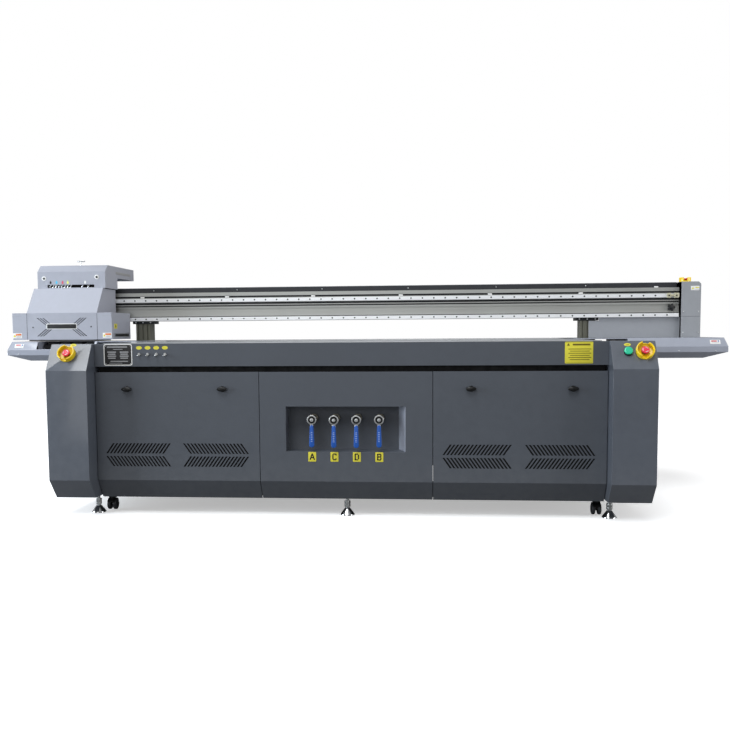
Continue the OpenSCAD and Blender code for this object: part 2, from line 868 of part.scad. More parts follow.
// The tip slopes up from below and tapers a little from above
module tip_cut(t) {
    run = 128;
    z1 = wing_bottom + 34;
    z2 = wing_top - 49;
    translate([0, wing_back + 1, 0]) rotate([90, 0, 0]) linear_extrude(wing_back - wing_y + 2) {
        polygon([[wing_out - run - t, wing_bottom - 1 + t], [wing_out - t, z1 + t], [wing_out + 1, z1 + t],
                 [wing_out + 1, wing_bottom - 1], [wing_out - run - t, wing_bottom - 1]]);
        polygon([[wing_out - t, z2 - t], [wing_out - 16 - t, wing_top + 1 - t],
                 [wing_out - 16 - t, wing_top + 1], [wing_out + 1, wing_top + 1], [wing_out + 1, z2 - t]]);
    }
}

// The right-hand wing; the left one is its mirror image
module wing_shell() {
    t = sheet;
    difference() {
        along_x(wing_in, wing_out, wing_profile(0));
        tip_cut(0);
        difference() {
            along_x(wing_in + t, wing_out - t, wing_profile(t));
            tip_cut(t);
        }
    }
    difference() {
        box(column_in - 16, wing_in, wing_y + wing_lip, wing_back, deck_bottom, deck_top);
        box(leg_x - leg_w / 2 - deck_leg_gap, leg_x + leg_w / 2 + deck_leg_gap,
            leg_y - deck_leg_gap, leg_y + leg_w + deck_leg_gap, deck_bottom - 1, deck_top + 1);
    }
}

pocket_left = mid_left + 85;
pocket_right = mid_right - 2;
pocket_floor = wing_top - 46;
pocket_back = -60;

module wing_left() {
    t = sheet;
    color("#8c8d92") difference() {
        union() {
            mirror([1, 0, 0]) wing_shell();
            box(pocket_left - t, min(pocket_right + t, -wing_in), wing_y + wing_lip + 4, pocket_back + t,
                pocket_floor - t, wing_top - 1);
        }
        box(pocket_left, pocket_right, wing_y - 1, pocket_back, pocket_floor, wing_top + 1);
    }
}

module wing_right() color("#8c8d92") wing_shell();

module end_cover() {
    t = 2;
    c = 14;
    x1 = end_in + end_cover_w;
    color("#8f9197") {
        difference() {
            translate([0, end_y + end_cover_d, 0]) rotate([90, 0, 0]) linear_extrude(end_cover_d)
                polygon([[end_in, deck_top], [x1, deck_top], [x1, end_top - c], [x1 - c, end_top],
                         [end_in, end_top]]);
            translate([0, end_y + end_cover_d - t, 0]) rotate([90, 0, 0])
                linear_extrude(end_cover_d - 2 * t)
                polygon([[end_in - 1, deck_top - 1], [x1 - t, deck_top - 1], [x1 - t, end_top - c - t / 2],
                         [x1 - c - t / 2, end_top - t], [end_in - 1, end_top - t]]);
        }
        difference() {
            box(end_panel_x, end_in, beam_front - 3, beam_front - 1, deck_top, beam_bottom - 1);
            box(end_panel_x - 1, leg_x + leg_w / 2 + 20, beam_front - 4, beam_front,
                beam_bottom - leg_top_t - 2, beam_bottom);
        }
    }
}

module cable_trough() {
    t = 2;
    color("#1c1d20") difference() {
        box(beam_left + 60, beam_right - 12, beam_front + 12, beam_back, beam_top, trough_top);
        box(beam_left + 59, beam_right - 11, beam_front + 12 + t, beam_back - t,
            beam_top + t, trough_top + 1);
    }
}

// The toothed belt's closed loop around both pulleys
module drive_belt() {
    module solid_loop(r, z0, z1) {
        box(pulley_left, pulley_right, pulley_y - r, pulley_y + r, z0, z1);
        for (x = [pulley_left, pulley_right]) rod_z(x, pulley_y, z0, z1, r);
    }
    z0 = pulley_z - belt_w / 2;
    z1 = pulley_z + belt_w / 2;
    color("#101113") difference() {
        solid_loop(pulley_r + belt_t, z0, z1);
        solid_loop(pulley_r + 0.3, z0 - 1, z1 + 1);
    }
}

module pulley(x, low) {
    color("#aeb2b8") {
        rod_z(x, pulley_y, pulley_z - belt_w / 2 - 2, pulley_z + belt_w / 2 + 2, pulley_r);
        rod_z(x, pulley_y, pulley_z - low, pulley_z + 38, shaft_r);
    }
}

module drive_pulley() pulley(pulley_right, 50);
module idler_pulley() pulley(pulley_left, 38);

module x_motor() {
    top = pulley_z - 38;
    color("#1e2023") difference() {
        box(pulley_right - 40, pulley_right + 40, pulley_y - 40, pulley_y + 40, top - 70, top);
        rod_z(pulley_right, pulley_y, top - 20, top + 1, shaft_r + fit);
    }
}

estop_top_x = end_in + 40;
estop_top_y = end_y + 70;

module gantry_estop_guard() color("#e3b91c") translate([estop_top_x, estop_top_y, end_top]) guard(34);

module gantry_estop_button() color("#d8324a")
    translate([estop_top_x, estop_top_y, end_top + mushroom_seat]) {
    cylinder(r = mushroom_r, h = 9);
    translate([0, 0, -8]) cylinder(r = stem_r, h = 9);
}

// Eight wiper-edged caps on a tray that rises to seal the parked heads
module capping_station() {
    x0 = pocket_left + 12;
    x1 = pocket_right - 12;
    y0 = head_y + 20;
    y1 = pocket_back - 10;
    px = (x1 - x0) / 4;
    py = (y1 - y0) / 2;
    color("#2a2c30") {
        box(x0, x1, y0, y1, pocket_floor + 4, pocket_floor + 24);
        for (i = [0 : 3], j = [0 : 1]) difference() {
            box(x0 + (i + 0.5) * px - 26, x0 + (i + 0.5) * px + 26, y0 + (j + 0.5) * py - 44,
                y0 + (j + 0.5) * py + 44, pocket_floor + 24, pocket_floor + 38);
            box(x0 + (i + 0.5) * px - 21, x0 + (i + 0.5) * px + 21, y0 + (j + 0.5) * py - 39,
                y0 + (j + 0.5) * py + 39, pocket_floor + 30, pocket_floor + 39);
        }
    }
}

// ---- carriage ----

module slider() {
    neck_left = slider_left + 90;
    neck_right = slider_right - 110;
    bridge_z = trough_top + 18;
    bridge_t = 12;
    drop_y = pulley_y + pulley_r + belt_t + 0.5;
    rail_gap = 0.5;
    mid = rail_w / 2;
    color("#6f7379") difference() {
        union() {
            box(slider_left, slider_right, slider_y, slider_y + slider_t, beam_bottom - 15, beam_top - 14);
            for (x = [slider_left, slider_right - block_l], z = [mid, upper_rail_z])
                box(x, x + block_l, slider_y + slider_t, beam_front - 5,
                    beam_bottom + z - mid - block_wrap, beam_bottom + z + mid + block_wrap);
            box(neck_left, neck_right, slider_y, slider_y + slider_t, beam_top - 20, bridge_z + bridge_t);
            box(neck_left, neck_right, slider_y, drop_y + 10, bridge_z, bridge_z + bridge_t);
            box(neck_left, neck_right, drop_y, drop_y + 10, pulley_z - 18, bridge_z + bridge_t);
            for (x = [slider_left + 30, slider_right - 30]) {
                rod_z(x, rod_y, beam_bottom - 15, beam_top - 14, rod_r);
                for (z = [beam_bottom - 15, beam_top - 30])
                    box(x - 16, x + 16, rod_y - 12, slider_y, z, z + 16);
            }
        }
        for (z = [mid, upper_rail_z])
            box(slider_left - 1, slider_right + 1, beam_front - rail_t - rail_gap, beam_front,
                beam_bottom + z - mid - rail_gap, beam_bottom + z + mid + rail_gap);
    }
}

module print_heads() {
    t = 12;
    x0 = mid_left + 8;
    x1 = mid_right - 8;
    y0 = head_y + 6;
    y1 = rod_y - 14;
    bush_z = beam_bottom + 10;
    px = (pocket_right - pocket_left - 24) / 4;
    py = (pocket_back - 10 - head_y - 20) / 2;
    color("#26282b") difference() {
        union() {
            box(x0, x1, y0, y1, head_plate_z, head_plate_z + t);
            for (i = [0 : 3], j = [0 : 1])
                let (x = pocket_left + 12 + (i + 0.5) * px, y = head_y + 20 + (j + 0.5) * py)
                    box(x - 22, x + 22, max(y - 40, y0), min(y + 40, y1 - 6),
                        head_plate_z, head_plate_z + 110);
            box(x0, x1, y1 - 6, y1, head_plate_z, bush_z + 40);
            for (x = [slider_left + 30, slider_right - 30])
                box(x - 18, x + 18, y1 - 6, rod_y + 13, bush_z, bush_z + 40);
        }
        for (x = [slider_left + 30, slider_right - 30]) rod_z(x, rod_y, bush_z - 1, bush_z + 41, rod_r + fit);
    }
}

module lamp(x0, x1, out) {
    t = 2;
    slot_z = head_bottom + 12;
    difference() {
        box(x0, x1, head_y, head_back, head_bottom, head_top);
        box(x0 + t, x1 - t, head_y + t, head_back - t, head_bottom - 1, head_top - t);
        box(out < 0 ? x0 - 1 : x1 - t - 1, out < 0 ? x0 + t + 1 : x1 + 1, head_y + 40, head_back - 20,
            slot_z, slot_z + 26);
    }
    box(x0 + 14, x1 - 14, head_y + 60, head_back - 60, head_bottom + 2, head_bottom + 100);
    box(x0 + t, x1 - t, head_y + 100, head_y + 120, head_bottom + 80, head_bottom + 90);
}

module lamp_housings() {
    color("#aeb1bc") {
        lamp(head_left, mid_left, -1);
        lamp(mid_right, head_right, 1);
    }
}

// Leaning cooling slots that form an arrowhead beside the centre
module louvres(x, dir) {
    run = 57;
    rise = 46;
    for (i = [0 : 2], side = [-1, 1])
        translate([x - dir * i * 17, head_y + 4, head_bottom + 76 + side * 9]) rotate([90, 0, 0])
            linear_extrude(6)
                polygon([[0, 0], [7, 0], [7 + dir * run, side * rise], [dir * run, side * rise]]);
}

module front_cover() {
    t = 2;
    outer = [[head_y, head_bottom], [head_y, head_top], [slope_y, slope_top], [head_back, slope_top],
             [head_back, head_bottom]];
    inner = [[head_y + t, head_bottom - 1], [head_y + t, head_top - t / 2], [slope_y + t / 2, slope_top - t],
             [head_back + 1, slope_top - t], [head_back + 1, head_bottom - 1]];
    color("#b3b6c2") difference() {
        along_x(mid_left, mid_right, outer);
        along_x(mid_left + t, mid_right - t, inner);
        box(slider_left - 6, mid_right + 1, slope_y + 30, head_back + 1, slope_top - t - 1, slope_top + 1);
        louvres(mid_left + 120, -1);
        louvres(mid_right - 127, 1);
    }
}

module upper_cover() {
    t = 2;
    c = top_chamfer_z;
    outer = [[top_front, slope_top], [top_front, top_z - c], [top_front + top_chamfer_y, top_z],
             [arm_back, top_z], [arm_back, top_z - arm_h], [head_back, top_z - arm_h],
             [head_back, slope_top]];
    inner = [[top_front + t, slope_top - 1], [top_front + t, top_z - c - t / 2],
             [top_front + top_chamfer_y + t / 2, top_z - t], [arm_back - t, top_z - t],
             [arm_back - t, top_z - arm_h - 1], [head_back + 1, top_z - arm_h - 1],
             [head_back + 1, slope_top - 1]];
    knob_x = (top_left + top_right) / 2;
    knob_y = -60;
    color("#b3b6c2") {
        difference() {
            along_x(top_left, top_right, outer);
            along_x(top_left + t, top_right - t, inner);
            box(top_left + 62, top_left + 358, top_front - 1, top_front + t + 1,
                slope_top + 4, slope_top + 22);
        }
        rod_z(knob_x, knob_y, top_z, top_z + 32, 3);
        rod_x(knob_y, top_z + 34, knob_x - 24, knob_x + 24, 4);
    }
}

frame_posts();
frame_side_beams();
frame_crossbeams();
front_columns();
rear_columns();
cabinet_panels();
front_apron();
centre_panel();
vacuum_bed();
vacuum_system();
y_axis_rails();
y_screw_mounts();
levelling_feet();
ball_valves();
switch_guards();
rear_caster_forks();
door_left();
door_right();
latch(latch_x[0]);  // latch_1
latch(latch_x[1]);  // latch_2
latch(latch_x[2]);  // latch_3
latch(latch_x[3]);  // latch_4
valve_lever(0);  // valve_lever_a
valve_lever(1);  // valve_lever_c
valve_lever(2);  // valve_lever_d
valve_lever(3);  // valve_lever_b
estop_button_left();
estop_button_right();
start_button();
toggle_1();
toggle_2();
toggle_3();
toggle_4();
caster_fork_left();
caster_fork_right();
caster_wheel_front_left();
caster_wheel_front_right();
caster_wheel_rear_left();
caster_wheel_rear_right();
y_screw_left();
y_screw_right();
beam();
gantry_legs();
x_rails();
wing_left();
wing_right();
end_cover();
cable_trough();
drive_belt();
drive_pulley();
idler_pulley();
x_motor();
gantry_estop_guard();
gantry_estop_button();
capping_station();
slider();
print_heads();
lamp_housings();
front_cover();
upper_cover();
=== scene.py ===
"""Looks of a flatbed UV printer: its covers, switches, valves, gantry, carriage and their finishes.

Every size is in metres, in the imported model's frame: X to the right, Y to the back, Z up.
"""

import json
import logging
import math
from collections.abc import Sequence
from dataclasses import dataclass, field
from enum import Enum

import bmesh
import bpy
import numpy as np
from mathutils import Matrix, Vector


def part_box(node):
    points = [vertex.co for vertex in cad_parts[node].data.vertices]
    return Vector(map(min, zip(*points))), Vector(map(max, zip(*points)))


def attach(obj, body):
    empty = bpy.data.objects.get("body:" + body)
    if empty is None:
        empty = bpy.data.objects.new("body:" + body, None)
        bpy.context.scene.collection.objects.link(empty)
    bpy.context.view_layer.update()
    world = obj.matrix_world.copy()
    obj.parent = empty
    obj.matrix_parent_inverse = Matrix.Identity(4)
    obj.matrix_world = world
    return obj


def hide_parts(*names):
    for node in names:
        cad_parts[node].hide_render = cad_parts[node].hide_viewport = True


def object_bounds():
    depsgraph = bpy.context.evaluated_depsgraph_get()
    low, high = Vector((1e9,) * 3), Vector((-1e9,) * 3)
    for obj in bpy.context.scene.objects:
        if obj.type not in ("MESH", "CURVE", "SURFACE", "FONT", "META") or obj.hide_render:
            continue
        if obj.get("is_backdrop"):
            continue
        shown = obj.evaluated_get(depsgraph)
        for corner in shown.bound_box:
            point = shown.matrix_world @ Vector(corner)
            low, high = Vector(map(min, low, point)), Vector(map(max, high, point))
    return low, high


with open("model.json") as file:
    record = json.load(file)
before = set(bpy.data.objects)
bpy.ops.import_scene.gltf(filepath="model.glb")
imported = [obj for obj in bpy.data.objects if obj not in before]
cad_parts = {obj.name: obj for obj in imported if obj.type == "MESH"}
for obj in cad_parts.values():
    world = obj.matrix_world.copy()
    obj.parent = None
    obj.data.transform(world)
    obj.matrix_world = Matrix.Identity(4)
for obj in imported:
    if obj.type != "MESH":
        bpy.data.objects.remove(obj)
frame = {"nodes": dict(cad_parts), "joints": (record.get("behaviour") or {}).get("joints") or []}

Array = np.ndarray
Object = bpy.types.Object
Material = bpy.types.Material
Tree = bpy.types.NodeTree
Socket = bpy.types.NodeSocket
Triple = tuple[float, float, float]
LOG = logging.getLogger("printer")
MM = 0.001
CAD_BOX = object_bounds()
SHADE_SHEET_GAP = 0.0034  # from the front cover's face to the black sheet of painted shade behind its louvres
PLATE_Z = 0.8475  # middle of the plates on the apron
TAG_Z = 0.318  # middle of the tags under the valves
SEAT_Y, SEAT_Z = -1.0158, 0.852  # middle of the switches on the columns' slopes
VENT_FOOT, VENT_TOP = 0.236, 0.410  # the doors' vents, with a margin
SEAM_FOOT, SEAM_TOP = 1.0362, 1.0376  # the joint across the end cover
TOGGLES = 4
# The valve recess: half its width, its bottom, its top and its depth.
RECESS_SIDE, RECESS_FLOOR, RECESS_TOP, RECESS_DEPTH = 0.3085, 0.344, 0.577, 0.095


# ---------------------------------------------------------------- shapes


@dataclass
class Shape:
    """Points and faces of a surface before it becomes a mesh.

    Args:
        points: one row of x, y, z for each vertex.
        faces: index arrays with one row for each face, grouped by their number of corners.
    """

    points: Array
    faces: list[Array]

    def __add__(self, other: "Shape") -> "Shape":
        """Both shapes as one.

        Args:
            other: the shape to add.
        Returns:
            The shape that holds both.
        """
        shift = len(self.points)
        return Shape(
            np.vstack([self.points, other.points]),
            self.faces + [rows + shift for rows in other.faces],
        )

    def put(self, facing: "Facing", at: Sequence[float], turn: float = 0.0) -> "Shape":
        """The shape turned to face a way and moved.

        Args:
            facing: the way that the shape's own Z axis looks.
            at: where the shape's own origin goes.
            turn: a turn about its own Z axis first, in degrees.
        Returns:
            The placed shape.
        """
        c, s = math.cos(math.radians(turn)), math.sin(math.radians(turn))
        spin = np.array([[c, -s, 0], [s, c, 0], [0, 0, 1]])
        axes = np.array(facing.value).T
        return Shape(self.points @ (axes @ spin).T + np.array(at, float), self.faces)

    def front(self) -> "Shape":
        """The shape turned to look to the front, still at the origin."""
        return self.put(Facing.FRONT, (0, 0, 0))

    def copies(self, offsets: Array) -> "Shape":
        """One copy of the shape at each row of offsets, worked out as one array.

        Args:
            offsets: one row of x, y, z for each copy.
        Returns:
            The shape that holds every copy.
        """
        offsets = np.asarray(offsets, float).reshape(-1, 3)
        count, size = len(offsets), len(self.points)
        points = (self.points[None] + offsets[:, None]).reshape(-1, 3)
        shift = (np.arange(count) * size)[:, None, None]
        return Shape(points, [(rows[None] + shift).reshape(-1, rows.shape[1]) for rows in self.faces])


SLOPE_RISE = np.array([0.0, 0.080, 0.135]) / np.hypot(0.080, 0.135)
WING_RISE = np.array([0.0, 0.028, 0.049]) / np.hypot(0.028, 0.049)


class Facing(Enum):
    """Ways to face: the rows are where a shape's own X, Y and Z axes point."""

    UP = ((1, 0, 0), (0, 1, 0), (0, 0, 1))
    FRONT = ((1, 0, 0), (0, 0, 1), (0, -1, 0))
    BACK = ((-1, 0, 0), (0, 0, 1), (0, 1, 0))
    LEFT = ((0, -1, 0), (0, 0, 1), (-1, 0, 0))
    RIGHT = ((0, 1, 0), (0, 0, 1), (1, 0, 0))
    SLOPE = ((1, 0, 0), tuple(SLOPE_RISE), (0, -SLOPE_RISE[2], SLOPE_RISE[1]))
    WING = ((1, 0, 0), tuple(WING_RISE), (0, -WING_RISE[2], WING_RISE[1]))


def outward(shape: Shape) -> Shape:
    """A closed skin with its faces pointing out: they are reversed where its signed volume is below zero.

    The volume is the sum of p0 . (pk x pk+1) / 6 over each face's fan of triangles.

    Args:
        shape: a closed skin.
    Returns:
        The skin with its faces outwards.
    """
    middle_point = shape.points.mean(axis=0)
    volume = 0.0
    for rows in shape.faces:
        corners = shape.points[rows] - middle_point
        volume += float((np.cross(corners[:, 1:-1], corners[:, 2:]) * corners[:, :1]).sum())
    return shape if volume >= 0 else Shape(shape.points, [rows[:, ::-1] for rows in shape.faces])


def loft(rings: Array, closed: bool = True) -> Shape:
    """A skin over a stack of rings: point (i, j) joins (i, j + 1) and (i + 1, j).

    Args:
        rings: array of ring, corner and coordinate.
        closed: whether flat ends close the first and last ring.
    Returns:
        The skin, with faces that point outwards where it is closed.
    """
    n, m = rings.shape[:2]
    index = np.arange(n * m).reshape(n, m)
    ahead = np.roll(index, -1, axis=1)
    quads = np.stack([index[:-1], ahead[:-1], ahead[1:], index[1:]], axis=-1).reshape(-1, 4)
    faces = [quads]
    if closed:
        faces += [index[0][::-1].reshape(1, -1), index[-1].reshape(1, -1)]
    skin = Shape(rings.reshape(-1, 3), faces)
    return outward(skin) if closed else skin


def stack(outline: Array, levels: Sequence[tuple[float, float]]) -> Shape:
    """An outline carried up through levels: each level moves its edges inwards.

    Args:
        outline: corners in order, turning left.
        levels: height and inset of each level.
    Returns:
        The closed solid. The inset moves each corner against the outline's normal there.
    """
    ahead, behind = np.roll(outline, -1, axis=0), np.roll(outline, 1, axis=0)
    along = ahead - behind
    along /= np.maximum(np.linalg.norm(along, axis=1, keepdims=True), 1e-9)
    normal = np.stack([along[:, 1], -along[:, 0]], axis=1)
    rings = [np.column_stack([outline - normal * inset, np.full(len(outline), z)]) for z, inset in levels]
    return loft(np.array(rings))


def edge_levels(height: float, edge: float, steps: int = 3, lower: bool = False) -> list[tuple[float, float]]:
    """Levels of a solid whose upper edge is a quarter circle, and its lower one too if asked.

    Args:
        height: full height.
        edge: radius of the edge.
        steps: facets of a quarter circle.
        lower: whether the lower edge is rounded too.
    Returns:
        Height and inset of each level.
    """
    angles = np.linspace(0, math.pi / 2, steps + 1)
    top = [(height - edge + edge * math.sin(a), edge * (1 - math.cos(a))) for a in angles]
    base = [(edge - edge * math.sin(a), edge * (1 - math.cos(a))) for a in angles[::-1]]
    return (base if lower else [(0.0, 0.0)]) + top


def round_rect(width: float, height: float, corner: float, steps: int = 5) -> Array:
    """Outline of a rectangle with quarter-circle corners, centred on the origin, turning left.

    Args:
        width: size along X.
        height: size along Y.
        corner: radius of the corners.
        steps: facets of each corner.
    Returns:
        The outline, one corner on each row.
    """
    angles = np.linspace(0, math.pi / 2, steps + 1)
    arc = np.column_stack([np.cos(angles), np.sin(angles)]) * corner
    parts = []
    for k, (sx, sy) in enumerate(((1, 1), (-1, 1), (-1, -1), (1, -1))):
        c, s = math.cos(k * math.pi / 2), math.sin(k * math.pi / 2)
        parts.append(arc @ np.array([[c, s], [-s, c]])
                     + [sx * (width / 2 - corner), sy * (height / 2 - corner)])
    return np.vstack(parts)


def circle(radius: float, count: int = 32) -> Array:
    """Outline of a circle: (r cos a, r sin a)."""
    a = np.arange(count) * 2 * math.pi / count
    return np.column_stack([np.cos(a), np.sin(a)]) * radius


def lobed(radius: float, depth: float, lobes: int, count: int = 96) -> Array:
    """Outline of a star knob: its radius swings by depth once for each lobe.

    Args:
        radius: radius of the lobes.
        depth: how far it drops between them.
        lobes: how many there are.
        count: points on the outline.
    Returns:
        The outline.
    """
    a = np.arange(count) * 2 * math.pi / count
    r = radius - depth * (0.5 - 0.5 * np.cos(lobes * a)) ** 1.6
    return np.column_stack([np.cos(a) * r, np.sin(a) * r])


def slab(width: float, height: float, depth: float, corner: float = 0.002, edge: float = 0.0005) -> Shape:
    """A plate with rounded corners and softened edges, standing on its own Z = 0."""
    return stack(round_rect(width, height, corner), edge_levels(depth, edge))


def block(low: Sequence[float], high: Sequence[float], edge: float = 0.001) -> Shape:
    """A box between two corners with its edges rounded all round.

    Args:
        low: the lowest corner.
        high: the highest corner.
        edge: radius of the edges.
    Returns:
        The box.
    """
    low, high = np.array(low, float), np.array(high, float)
    size = high - low
    edge = min(edge, size.min() / 2.2)
    shape = stack(round_rect(size[0], size[1], edge * 1.01, 3), edge_levels(size[2], edge, 3, lower=True))
    return Shape(shape.points + np.append((low + high)[:2] / 2, low[2]), shape.faces)


def lathe(profile: Sequence[tuple[float, float]], count: int = 32) -> Shape:
    """A surface of revolution: each profile point is a radius and a height, from the bottom up."""
    rings = [np.column_stack([circle(max(r, 1e-5), count), np.full(count, z)]) for r, z in profile]
    return loft(np.array(rings))


def ring(outer: float, inner: float, height: float, edge: float, count: int = 40) -> Shape:
    """A ring whose section is a rectangle with a rounded outer top edge, closed on itself.

    Args:
        outer: outer radius.
        inner: inner radius.
        height: how tall it stands.
        edge: radius of the outer top edge.
        count: stations around it.
    Returns:
        The ring, standing on its own Z = 0.
    """
    top = [(outer - edge + edge * math.cos(a), height - edge + edge * math.sin(a))
           for a in np.linspace(0, math.pi / 2, 4)]
    section = [(inner, 0.0), (outer, 0.0), *top, (inner, height)]
    profile = np.array(section)
    a = np.arange(count) * 2 * math.pi / count
    points = np.stack([np.cos(a)[:, None] * profile[:, 0], np.sin(a)[:, None] * profile[:, 0],
                       np.broadcast_to(profile[:, 1], (count, len(profile)))], axis=-1)
    return torus_like(points)


def torus_like(points: Array) -> Shape:
    """A skin that closes on itself both ways, over stations and the corners of their sections.

    Args:
        points: array of station, corner and coordinate.
    Returns:
        The closed skin.
    """
    n, m = points.shape[:2]
    index = np.arange(n * m).reshape(n, m)
    right, up = np.roll(index, -1, axis=0), np.roll(index, -1, axis=1)
    both = np.roll(right, -1, axis=1)
    quads = np.stack([index, right, both, up], axis=-1).reshape(-1, 4)
    return outward(Shape(points.reshape(-1, 3), [quads]))


def tube(path: Array, radius: float, sides: int = 12) -> Shape:
    """A round tube along a path: at each point a ring stands across the mean direction there.

    Args:
        path: points along its middle.
        radius: its radius.
        sides: facets around it.
    Returns:
        The tube with closed ends.
    """
    path = np.asarray(path, float)
    ahead = np.gradient(path, axis=0)
    ahead /= np.linalg.norm(ahead, axis=1, keepdims=True)
    guide = np.array([0.0, 0.0, 1.0]) if np.abs(ahead[:, 2]).max() < 0.9 else np.array([0.31, 0.95, 0.0])
    side = np.cross(ahead, guide)
    side /= np.linalg.norm(side, axis=1, keepdims=True)
    up = np.cross(side, ahead)
    unit = circle(radius, sides)
    rings = path[:, None] + unit[None, :, :1] * side[:, None] + unit[None, :, 1:] * up[:, None]
    return loft(rings[:, ::-1])


def helix_rod(radius: float, depth: float, lead: float, low: float, high: float) -> Shape:
    """A ball screw's rod along its own Z: the radius drops by depth along a helix of the given lead.

    Args:
        radius: outer radius.
        depth: depth of the thread.
        lead: rise of one turn.
        low: lower end.
        high: upper end.
    Returns:
        The rod, along its own Z.
    """
    per_turn, sides = 10, 20
    z = np.linspace(low, high, max(2, int((high - low) / lead * per_turn)))
    a = np.arange(sides) * 2 * math.pi / sides
    phase = a[None, :] - 2 * math.pi * z[:, None] / lead
    r = radius - depth * np.clip(np.cos(phase) * 1.6 - 0.6, 0, 1)
    return loft(np.stack([r * np.cos(a), r * np.sin(a), np.broadcast_to(z[:, None], r.shape)], axis=-1))


# ---------------------------------------------------------------- finishes


def linear(hex_colour: str) -> tuple[float, float, float, float]:
    """An sRGB hex colour as linear red, green, blue and alpha.

    Args:
        hex_colour: the colour as #RRGGBB.
    Returns:
        Red, green, blue and alpha.
    """
    values = [int(hex_colour[i : i + 2], 16) / 255 for i in (1, 3, 5)]
    r, g, b = [v / 12.92 if v <= 0.04045 else ((v + 0.055) / 1.055) ** 2.4 for v in values]
    return r, g, b, 1.0


def add(tree: Tree, kind: str, settings: dict | None = None, links: dict | None = None) -> bpy.types.Node:
    """Adds a shader node.

    Args:
        tree: the material's node tree.
        kind: the node's type.
        settings: values for its sockets, or for its attributes where the name is one.
        links: output sockets to join to its input sockets.
    Returns:
        The node.
    """
    node = tree.nodes.new(kind)
    for name, value in (settings or {}).items():
        if isinstance(name, str) and hasattr(node, name):
            setattr(node, name, value)
        else:
            node.inputs[name].default_value = value
    for name, output in (links or {}).items():
        tree.links.new(output, node.inputs[name])
    return node


def per_metre(millimetres: float) -> float:
    """A texture scale whose features are about that many millimetres across."""
    return 1.0 / (millimetres * MM)


